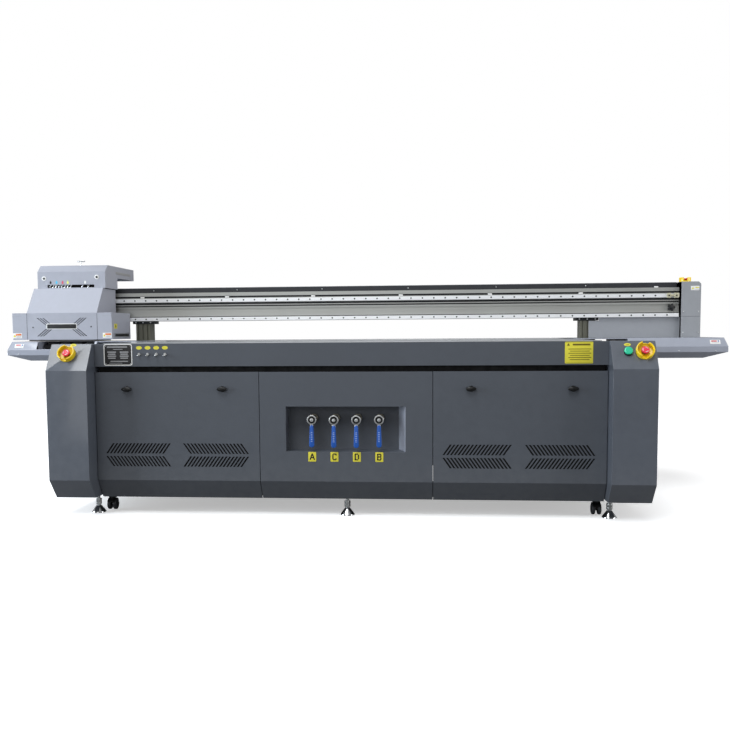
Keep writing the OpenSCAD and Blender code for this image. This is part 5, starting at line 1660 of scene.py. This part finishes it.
    def _drive(self) -> None:
        """Toothed belt and pulleys: the tooth is a raised cosine along the belt's length."""
        left, right = joint_place("idler_pulley_turn"), joint_place("drive_pulley_turn")
        y, z, r, half = right[1], middle("drive_belt")[2], 0.018, 0.012
        run = right[0] - left[0]
        straight = np.linspace(0, 1, int(run / 0.00125))[:-1]
        turn = np.linspace(0, math.pi, 48)[:-1]
        mid = np.concatenate([np.column_stack([left[0] + run * straight, np.full(len(straight), y)]),
                              np.tile([right[0], y], (len(turn), 1)),
                              np.column_stack([right[0] - run * straight, np.full(len(straight), y)]),
                              np.tile([left[0], y], (len(turn), 1))])
        out = np.concatenate([np.tile([0.0, -1.0], (len(straight), 1)),
                              np.column_stack([np.sin(turn), -np.cos(turn)]),
                              np.tile([0.0, 1.0], (len(straight), 1)),
                              np.column_stack([-np.sin(turn), np.cos(turn)])])
        along = np.concatenate([run * straight, run + r * turn, run + math.pi * r + run * straight,
                                2 * run + math.pi * r + r * turn])
        inner = r + 0.0004 + 0.0009 * (0.5 - 0.5 * np.cos(2 * math.pi * along / self.belt_pitch))
        corners = [(r + 0.003, -half), (r + 0.003, half), (inner, half), (inner, -half)]
        stations = np.stack([np.column_stack([mid + out * np.broadcast_to(q, len(mid))[:, None],
                                              np.full(len(mid), z + h)])
                             for q, h in corners], axis=1)
        belt = torus_like(stations[::-1])
        self.piece("toothed_belt", belt, Finishes.belt, stands_for=("drive_belt",))
        for node, at in (("drive_pulley", right), ("idler_pulley", left)):
            low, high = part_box(node)
            count = self.pulley_teeth * 8
            a = np.arange(count) * 2 * math.pi / count
            rim_radius = r - 0.0002 - 0.0010 * (0.5 - 0.5 * np.cos(self.pulley_teeth * a))
            teeth = stack(np.column_stack([np.cos(a) * rim_radius, np.sin(a) * rim_radius]),
                          [(-half - 0.0005, 0.0), (half + 0.0005, 0.0)])
            rim = lathe([(0.006, 0.0), (0.0178, 0.0), (0.0178, 0.0012), (0.006, 0.0013)], 40)
            rims = rim.copies(np.array([(0, 0, half + 0.0006), (0, 0, -half - 0.0019)]))
            shaft = lathe([(0.0076, low.z - z), (0.0076, high.z - z - 0.001), (0.0066, high.z - z)], 24)
            self.piece(node + "_wheel", (teeth + rims).put(Facing.UP, (at[0], y, z)), Finishes.zinc, node,
                       (node,))
            self.piece(node + "_shaft", shaft.put(Facing.UP, (at[0], y, z)), Finishes.screw, node)

    def _wing_labels(self) -> None:
        """Pinch labels near both wing tips: white stock, a red bar and a small blue mark."""
        low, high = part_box("wing_right")
        y, z = low.y + 0.0140, high.z - 0.0245
        for side, tag in ((-1, "left"), (1, "right")):
            x = side * (high.x - 0.068)
            marks = [Mark(-0.006, 0.0052, 0.030, 0.0075, Finishes.paper_red),
                     Mark(0.018, 0.0052, 0.008, 0.0075, Finishes.vinyl),
                     Mark(0, -0.0050, 0.040, 0.0018, Finishes.ink_grey)]
            Label("wing_label_" + tag, (x, y - 0.0002, z + 0.0002), Facing.WING, 0.056, 0.026,
                  Finishes.paper_white, marks, 0.002, "gantry").build()
        screws = pan_screw(0.0034).front()
        x = np.array([-2.02, -1.82, -1.60, 1.60, 1.82, 2.02])
        places = np.column_stack([x, np.full(6, low.y + 0.0002), np.full(6, 0.8385)])
        self.piece("wing_screws", screws.copies(places), Finishes.zinc)

    def _end_details(self) -> None:
        """The end cover's seam, screws and warning label."""
        low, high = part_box("end_cover")
        x0, x1, y = high.x - 0.114, high.x - 0.001, low.y
        seam = block((x0, y - 0.0004, SEAM_FOOT), (x1, y + 0.0003, SEAM_TOP), 0.0002)
        side = block((high.x - 0.0003, low.y + 0.002, SEAM_FOOT), (high.x + 0.0004, high.y - 0.002, SEAM_TOP),
                     0.0002)
        self.piece("end_cover_seam", seam + side, Finishes.soot)
        screws = pan_screw(0.0036).front()
        at = np.array([(x0 + 0.012, y, 0.94), (x1 - 0.012, y, 0.94), (x0 + 0.012, y, 1.065),
                       (x1 - 0.012, y, 1.065)])
        self.piece("end_cover_screws", screws.copies(at), Finishes.zinc)
        marks = [Mark(0.012, 0.004, 0.022, 0.006, Finishes.paper_yellow),
                 Mark(0.012, -0.007, 0.022, 0.0016, Finishes.ink_grey)]
        place = (high.x - 0.036, y - 0.0002, 1.205)
        Label("end_label", place, Facing.FRONT, 0.050, 0.026, Finishes.paper_white, marks, 0.002,
              "gantry").build()
        triangle = warning_triangle(0.0085).put(Facing.FRONT,
                                                (place[0] - 0.013, y - 0.0006, place[2] - 0.001))
        self.piece("end_label_triangle", triangle, Finishes.paper_yellow)


# ---------------------------------------------------------------- carriage


@dataclass
class Carriage(Assembly):
    """The print carriage: lamps, covers, ink window, nameplate and handle.

    Args:
        drops: middle of each ink mark across the window, with its finish.
    """

    body = "head"
    drops: tuple[tuple[float, Finish], ...] = (
        (-1.888, Finishes.ink_black), (-1.850, Finishes.ink_cyan), (-1.812, Finishes.ink_magenta),
        (-1.779, Finishes.ink_yellow), (-1.669, Finishes.paper_white))

    def build(self) -> None:
        """Makes everything that rides the carriage."""
        self.folded("lamp_housings", Finishes.cover, 0.0025)
        self.folded("front_cover", Finishes.cover, 0.0016)
        self.folded("upper_cover", Finishes.cover, 0.0022)
        self.folded("print_heads", Finishes.heads, 0.001)
        self.folded("slider", Finishes.leg, 0.0012, "slider_body")
        self.folded("capping_station", Finishes.black, 0.001, "capping_station")
        self._front()
        self._window()
        self._lamps()
        self._handle()
        self._liner()
        self._caps()

    def _front(self) -> None:
        """The blank nameplate, the screws beside it and a black sheet behind the louvres, painted shade that
        makes them read dark.
        """
        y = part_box("front_cover")[0].y
        self.piece("louvre_lining",
                   block((-1.915, y + SHADE_SHEET_GAP, 0.945), (-1.640, y + SHADE_SHEET_GAP + 0.0015, 1.060), 0.0005),
                   Finishes.soot)
        x, z = -1.777, 1.003
        plate = slab(0.190, 0.034, 0.0012, 0.006, 0.0005).put(Facing.FRONT, (x, y + 0.0001, z))
        inset = slab(0.182, 0.026, 0.0003, 0.004, 0.0001).put(Facing.FRONT, (x, y - 0.0010, z))
        self.piece("blank_nameplate", plate, Finishes.paper_white)
        self.piece("blank_nameplate_field", inset, Finishes.ink_black)
        screws = pan_screw(0.0042).front()
        at = np.array([(-1.957, y, 0.998), (-1.595, y, 1.000)])
        self.piece("front_cover_screws", screws.copies(at), Finishes.black)

    def _window(self) -> None:
        """Ink valves behind the window, ink marks above it and two ringed screws."""
        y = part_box("upper_cover")[0].y
        drop_a = np.linspace(0, 2 * math.pi, 28, endpoint=False)
        outline = np.column_stack([np.sin(drop_a) * 0.0080 * np.sin(drop_a / 2) ** 0.8,
                                   np.cos(drop_a) * 0.0105])
        for number, (x, ink) in enumerate(self.drops):
            blob = stack(outline[::-1], [(0.0, 0.0), (0.0003, 0.0)]).put(Facing.FRONT,
                                                                         (x, y + 0.0001, 1.2735))
            self.piece(f"ink_mark_{number}", blob, ink)
        body = lathe([(0.0042, 0.0), (0.0042, 0.011), (0.0032, 0.012), (0.0032, 0.016), (0.0048, 0.017),
                      (0.0048, 0.0215), (0.0036, 0.0225), (0.0, 0.0225)], 20)
        tilt = math.radians(28)
        c, s = math.cos(tilt), math.sin(tilt)
        leaning = Shape(np.column_stack([body.points[:, 0] * c + body.points[:, 2] * s, body.points[:, 1],
                                         -body.points[:, 0] * s + body.points[:, 2] * c]), body.faces)
        x = np.concatenate([np.linspace(-1.899, -1.769, 8), [-1.696, -1.658]])
        at = np.column_stack([x, np.full(len(x), y + 0.012), np.full(len(x), 1.2405)])
        self.piece("ink_valves", leaning.copies(at), Finishes.chrome)
        rail = block((-1.906, y + 0.006, 1.2375), (-1.614, y + 0.020, 1.2408), 0.0008)
        self.piece("ink_valve_rail", rail, Finishes.zinc)
        rings, screws = [], []
        for sx, sz in ((-1.929, 1.297), (-1.595, 1.303)):
            rings.append(ring(0.0140, 0.0068, 0.0014, 0.0006, 40).put(Facing.FRONT, (sx, y, sz)))
            screws.append(cap_screw(0.0066, 0.0034).put(Facing.FRONT, (sx, y, sz)))
        self.piece("upper_cover_rings", joined(rings), Finishes.paper_white)
        self.piece("upper_cover_screws", joined(screws), Finishes.bolt)

    def _lamps(self) -> None:
        """Warning labels on the lamp housings and the lamps' glass windows underneath."""
        low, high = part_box("lamp_housings")
        y = low.y - 0.0002
        for side, x in (("left", low.x + 0.030), ("right", high.x - 0.030)):
            marks = [Mark(0.006, 0.0065, 0.036, 0.0105, Finishes.paper_orange),
                     Mark(0.008, -0.0045, 0.030, 0.0020, Finishes.ink_grey),
                     Mark(0.006, -0.0090, 0.026, 0.0018, Finishes.ink_grey)]
            Label("lamp_label_" + side, (x, y, 0.948), Facing.FRONT, 0.056, 0.030, Finishes.paper_white,
                  marks, 0.0015, "head").build()
            triangle = warning_triangle(0.0095).put(Facing.FRONT, (x - 0.0185, y - 0.0004, 0.946))
            self.piece("lamp_triangle_" + side, triangle, Finishes.paper_yellow)
            seam = block((x - 0.030, low.y - 0.0003, high.z - 0.0195),
                         (x + 0.030, low.y + 0.0003, high.z - 0.0185), 0.0001)
            self.piece("lamp_seam_" + side, seam, Finishes.ink_grey)
        at = (high.x + 0.0002, low.y + 0.060, 1.002)
        Label("lamp_side_label", at, Facing.RIGHT, 0.046, 0.030, Finishes.paper_yellow,
              [Mark(0, -0.0105, 0.036, 0.0018, Finishes.ink_black)], 0.002, "head").build()
        length, mid = (high.y - low.y) * 0.76, (low.y + high.y) / 2 + 0.010
        slot_z, proud = 0.9475, 0.0005
        # On each side a dark band inside a pale rim: painted shade that stands for the slot's opening.
        for tag, facing, x, sign in (("left", Facing.LEFT, low.x, -1), ("right", Facing.RIGHT, high.x, 1)):
            rim = slab(length, 0.022, 0.0006, 0.004, 0.0002).put(facing, (x, mid, slot_z))
            dark = slab(length - 0.008, 0.015, 0.0004, 0.003, 0.0001).put(facing,
                                                                          (x + sign * proud, mid, slot_z))
            self.piece("lamp_slot_rim_" + tag, rim, Finishes.end)
            self.piece("lamp_slot_" + tag, dark, Finishes.bolt)
        self.piece("lamp_side_triangle",
                   warning_triangle(0.0105).put(Facing.RIGHT, (at[0] + 0.0004, at[1], at[2] + 0.002)),
                   Finishes.ink_black)
        cover_low, cover_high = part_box("front_cover")
        joints = [block((x - 0.0009, low.y - 0.0005, low.z + 0.001),
                        (x + 0.0009, low.y + 0.0002, high.z - 0.001), 0.0003)
                  for x in (cover_low.x, cover_high.x)]
        self.piece("lamp_joints", joined(joints), Finishes.bolt)
        glass = [block((x0 + 0.012, low.y + 0.062, low.z + 0.0006),
                       (x0 + 0.079, high.y - 0.062, low.z + 0.003), 0.0008)
                 for x0 in (low.x, high.x - 0.091)]
        self.piece("lamp_windows", joined(glass), Finishes.heads)

    def _handle(self) -> None:
        """The T handle on the upper cover: a bar with rounded ends on a flared post."""
        low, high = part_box("upper_cover")
        x, y, z = (low.x + high.x) / 2, -0.060, high.z - 0.004
        bar = lathe([(0.0, -0.0245), (0.0030, -0.0238), (0.0043, -0.0215), (0.0043, 0.0215), (0.0030, 0.0238),
                     (0.0, 0.0245)], 24)
        post = lathe([(0.0075, 0.0), (0.0075, 0.003), (0.0036, 0.0045), (0.0034, 0.030)], 28)
        self.piece("carriage_handle",
                   bar.put(Facing.RIGHT, (x, y, z)) + post.put(Facing.UP, (x, y, z - 0.0335)),
                   Finishes.zinc, smooth=50)

    def _liner(self) -> None:
        """A darker grey strip along each side of the cable arm, painted shade of a recess there, and a dark
        sheet behind the window, painted shade inside the carriage.
        """
        low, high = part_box("upper_cover")
        for side, facing, x in ((-1, Facing.LEFT, low.x), (1, Facing.RIGHT, high.x)):
            strip = slab(0.250, 0.016, 0.0005, 0.003, 0.0002).put(facing, (x, 0.085, 1.338))
            self.piece("arm_strip_" + ("left" if side < 0 else "right"), strip, Finishes.ink_grey)
        shade = block((-1.912, low.y + 0.022, 1.2365), (-1.608, low.y + 0.024, 1.2600), 0.0005)
        self.piece("window_backing", shade, Finishes.soot)

    def _caps(self) -> None:
        """Rubber lips around the eight caps."""
        low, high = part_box("capping_station")
        px, py = (high.x - low.x) / 4, (high.y - low.y) / 2
        outer, inner = round_rect(0.0525, 0.0885, 0.006), round_rect(0.0425, 0.0785, 0.004)
        section = [(outer, 0.0), (outer, 0.0015), (outer * 0.985, 0.0019), (inner, 0.0019), (inner, 0.0)]
        lip = torus_like(np.stack([np.column_stack([edge, np.full(len(edge), h)]) for edge, h in section],
                                  axis=1))
        at = np.array([(low.x + (i + 0.5) * px, low.y + (j + 0.5) * py, high.z - 0.0012) for i in range(4)
                       for j in range(2)])
        self.piece("cap_lips", lip.copies(at), Finishes.rubber, "capping_station")


# ---------------------------------------------------------------- studio


@dataclass
class Studio:
    """A plain pale floor, soft light and the camera.

    Args:
        place: where the camera stands.
        yaw: turn of its view towards the left, in radians.
        pitch: tilt of its view downwards, in radians.
        roll: roll of its view, in radians.
        lens: focal length in millimetres on a 36 mm sensor.
        shift: sensor shift to the right and up, as shares of the sensor's width.
    """

    place: Triple = (0.425, -5.119, 0.960)
    yaw: float = 0.0835
    pitch: float = 0.0753
    roll: float = -0.0071
    lens: float = 40.5
    shift: tuple[float, float] = (0.0067, 0.0389)

    def build(self) -> None:
        """Makes the floor, the lights, the world and the camera."""
        self._floor()
        self._overhead((-0.22, -0.50, 1.0), 1.5, 32.0)
        cool = (0.84, 0.92, 1.0)
        self._light("left_softbox", (-7.5, -2.2, 2.0), (-0.4, -0.6, 0.7), 4.0, 680.0, cool)
        self._light("right_softbox", (7.6, -2.4, 2.0), (0.4, -0.6, 0.7), 4.0, 270.0)
        self._light("front_softbox", (-1.4, -7.0, 2.2), (0.0, -0.6, 0.7), 4.0, 40.0)
        self._light("rear_softbox", (0.0, 4.4, 4.0), (0.0, 0.4, 0.9), 4.0, 60.0)
        self._world()
        bpy.context.scene.view_settings.view_transform = "Standard"
        self._camera()

    def _world(self) -> None:
        """A white surround that lights the printer only softly: what the camera sees of it is full white."""
        world = bpy.data.worlds.new("studio_white")
        world.use_nodes = True
        tree = world.node_tree
        seen = add(tree, "ShaderNodeLightPath").outputs["Is Camera Ray"]
        level = add(tree, "ShaderNodeMapRange", {"To Min": 0.30, "To Max": 1.0}, {"Value": seen}).outputs[0]
        tree.nodes["Background"].inputs["Color"].default_value = (1.0, 1.0, 1.0, 1.0)
        tree.links.new(level, tree.nodes["Background"].inputs["Strength"])
        bpy.context.scene.world = world

    def _floor(self) -> None:
        """A white floor that reaches far behind the printer."""
        mesh = bpy.data.meshes.new("studio_floor")
        mesh.from_pydata([(-30, -12, 0), (30, -12, 0), (30, 40, 0), (-30, 40, 0)], [], [(0, 1, 2, 3)])
        floor = bpy.data.objects.new("studio_floor", mesh)
        bpy.context.scene.collection.objects.link(floor)
        made = bpy.data.materials.new("studio_paper")
        made.use_nodes = True
        tree = made.node_tree
        shader = tree.nodes["Principled BSDF"]
        shader.inputs["Base Color"].default_value = (0.88, 0.88, 0.88, 1.0)
        shader.inputs["Roughness"].default_value = 0.8
        shader.inputs["Emission Color"].default_value = (1.0, 1.0, 1.0, 1.0)
        shader.inputs["Emission Strength"].default_value = 0.42
        # The paper is white, but throws only a part of its light back up at the printer.
        damped = add(tree, "ShaderNodeBsdfDiffuse", {"Color": (0.2, 0.2, 0.2, 1.0)})
        seen = add(tree, "ShaderNodeLightPath").outputs["Is Camera Ray"]
        chosen = add(tree, "ShaderNodeMixShader", {}, {0: seen, 1: damped.outputs[0], 2: shader.outputs[0]})
        tree.links.new(chosen.outputs[0], tree.nodes["Material Output"].inputs["Surface"])
        mesh.materials.append(made)
        floor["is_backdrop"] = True

    def _overhead(self, towards: Triple, strength: float, spread: float) -> None:
        """A broad, even light from above.

        Args:
            towards: the way from the floor to the light.
            strength: light on a face that looks straight at it, in watts per square metre.
            spread: angle that the light fills, in degrees.
        """
        lamp = bpy.data.lights.new("overhead_scrim", "SUN")
        lamp.energy = strength
        lamp.color = (0.96, 0.98, 1.0)
        lamp.angle = math.radians(spread)
        made = bpy.data.objects.new("overhead_scrim", lamp)
        made.rotation_euler = Vector(towards).to_track_quat("Z", "Y").to_euler()
        bpy.context.scene.collection.objects.link(made)

    def _light(self, name: str, at: Triple, towards: Triple, size: float, power: float,
               colour: Triple = (1.0, 1.0, 1.0)) -> None:
        """A square area light that looks at a point.

        Args:
            name: the light's name.
            at: where it stands.
            towards: the point that it looks at.
            size: length of its side.
            power: its power in watts.
            colour: its colour.
        """
        lamp = bpy.data.lights.new(name, "AREA")
        lamp.color = colour
        lamp.shape = "SQUARE"
        lamp.size = size
        lamp.energy = power
        made = bpy.data.objects.new(name, lamp)
        made.location = at
        made.rotation_euler = (Vector(towards) - Vector(at)).to_track_quat("-Z", "Y").to_euler()
        bpy.context.scene.collection.objects.link(made)

    def _camera(self) -> None:
        """The camera, from its place, yaw, pitch and roll."""
        ahead = Vector((-math.sin(self.yaw) * math.cos(self.pitch), math.cos(self.yaw) * math.cos(self.pitch),
                        -math.sin(self.pitch)))
        right = ahead.cross(Vector((0, 0, 1))).normalized()
        up = right.cross(ahead)
        turned = right * math.cos(self.roll) + up * math.sin(self.roll)
        up = turned.cross(ahead)
        lens = bpy.data.cameras.new("camera")
        lens.lens = self.lens
        lens.sensor_width = 36.0
        lens.shift_x, lens.shift_y = self.shift
        made = bpy.data.objects.new("camera", lens)
        made.matrix_world = Matrix.Translation(self.place) @ Matrix((turned, up,
                                                                     -ahead)).transposed().to_4x4()
        bpy.context.scene.collection.objects.link(made)
        bpy.context.scene.camera = made


def write_sizes() -> None:
    """Gathers the object's box before and after the pieces, one entry for each corner; nothing is written
    out.
    """
    lines = {"cad_low": list(CAD_BOX[0]), "cad_high": list(CAD_BOX[1])}
    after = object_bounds()
    lines |= {"scene_low": list(after[0]), "scene_high": list(after[1])}


def main() -> None:
    """Builds every sub-assembly and the studio."""
    logging.basicConfig(level=logging.INFO, format="%(name)s: %(message)s")
    for part in (Cabinet(), Casework(), Valves(), Latches(), Switches(), Feet(), Casters(), Table(),
                 LongAxis(),
                 Gantry(), Carriage()):
        part.build()
    Studio().build()
    write_sizes()


if __name__ == "__main__":
    main()
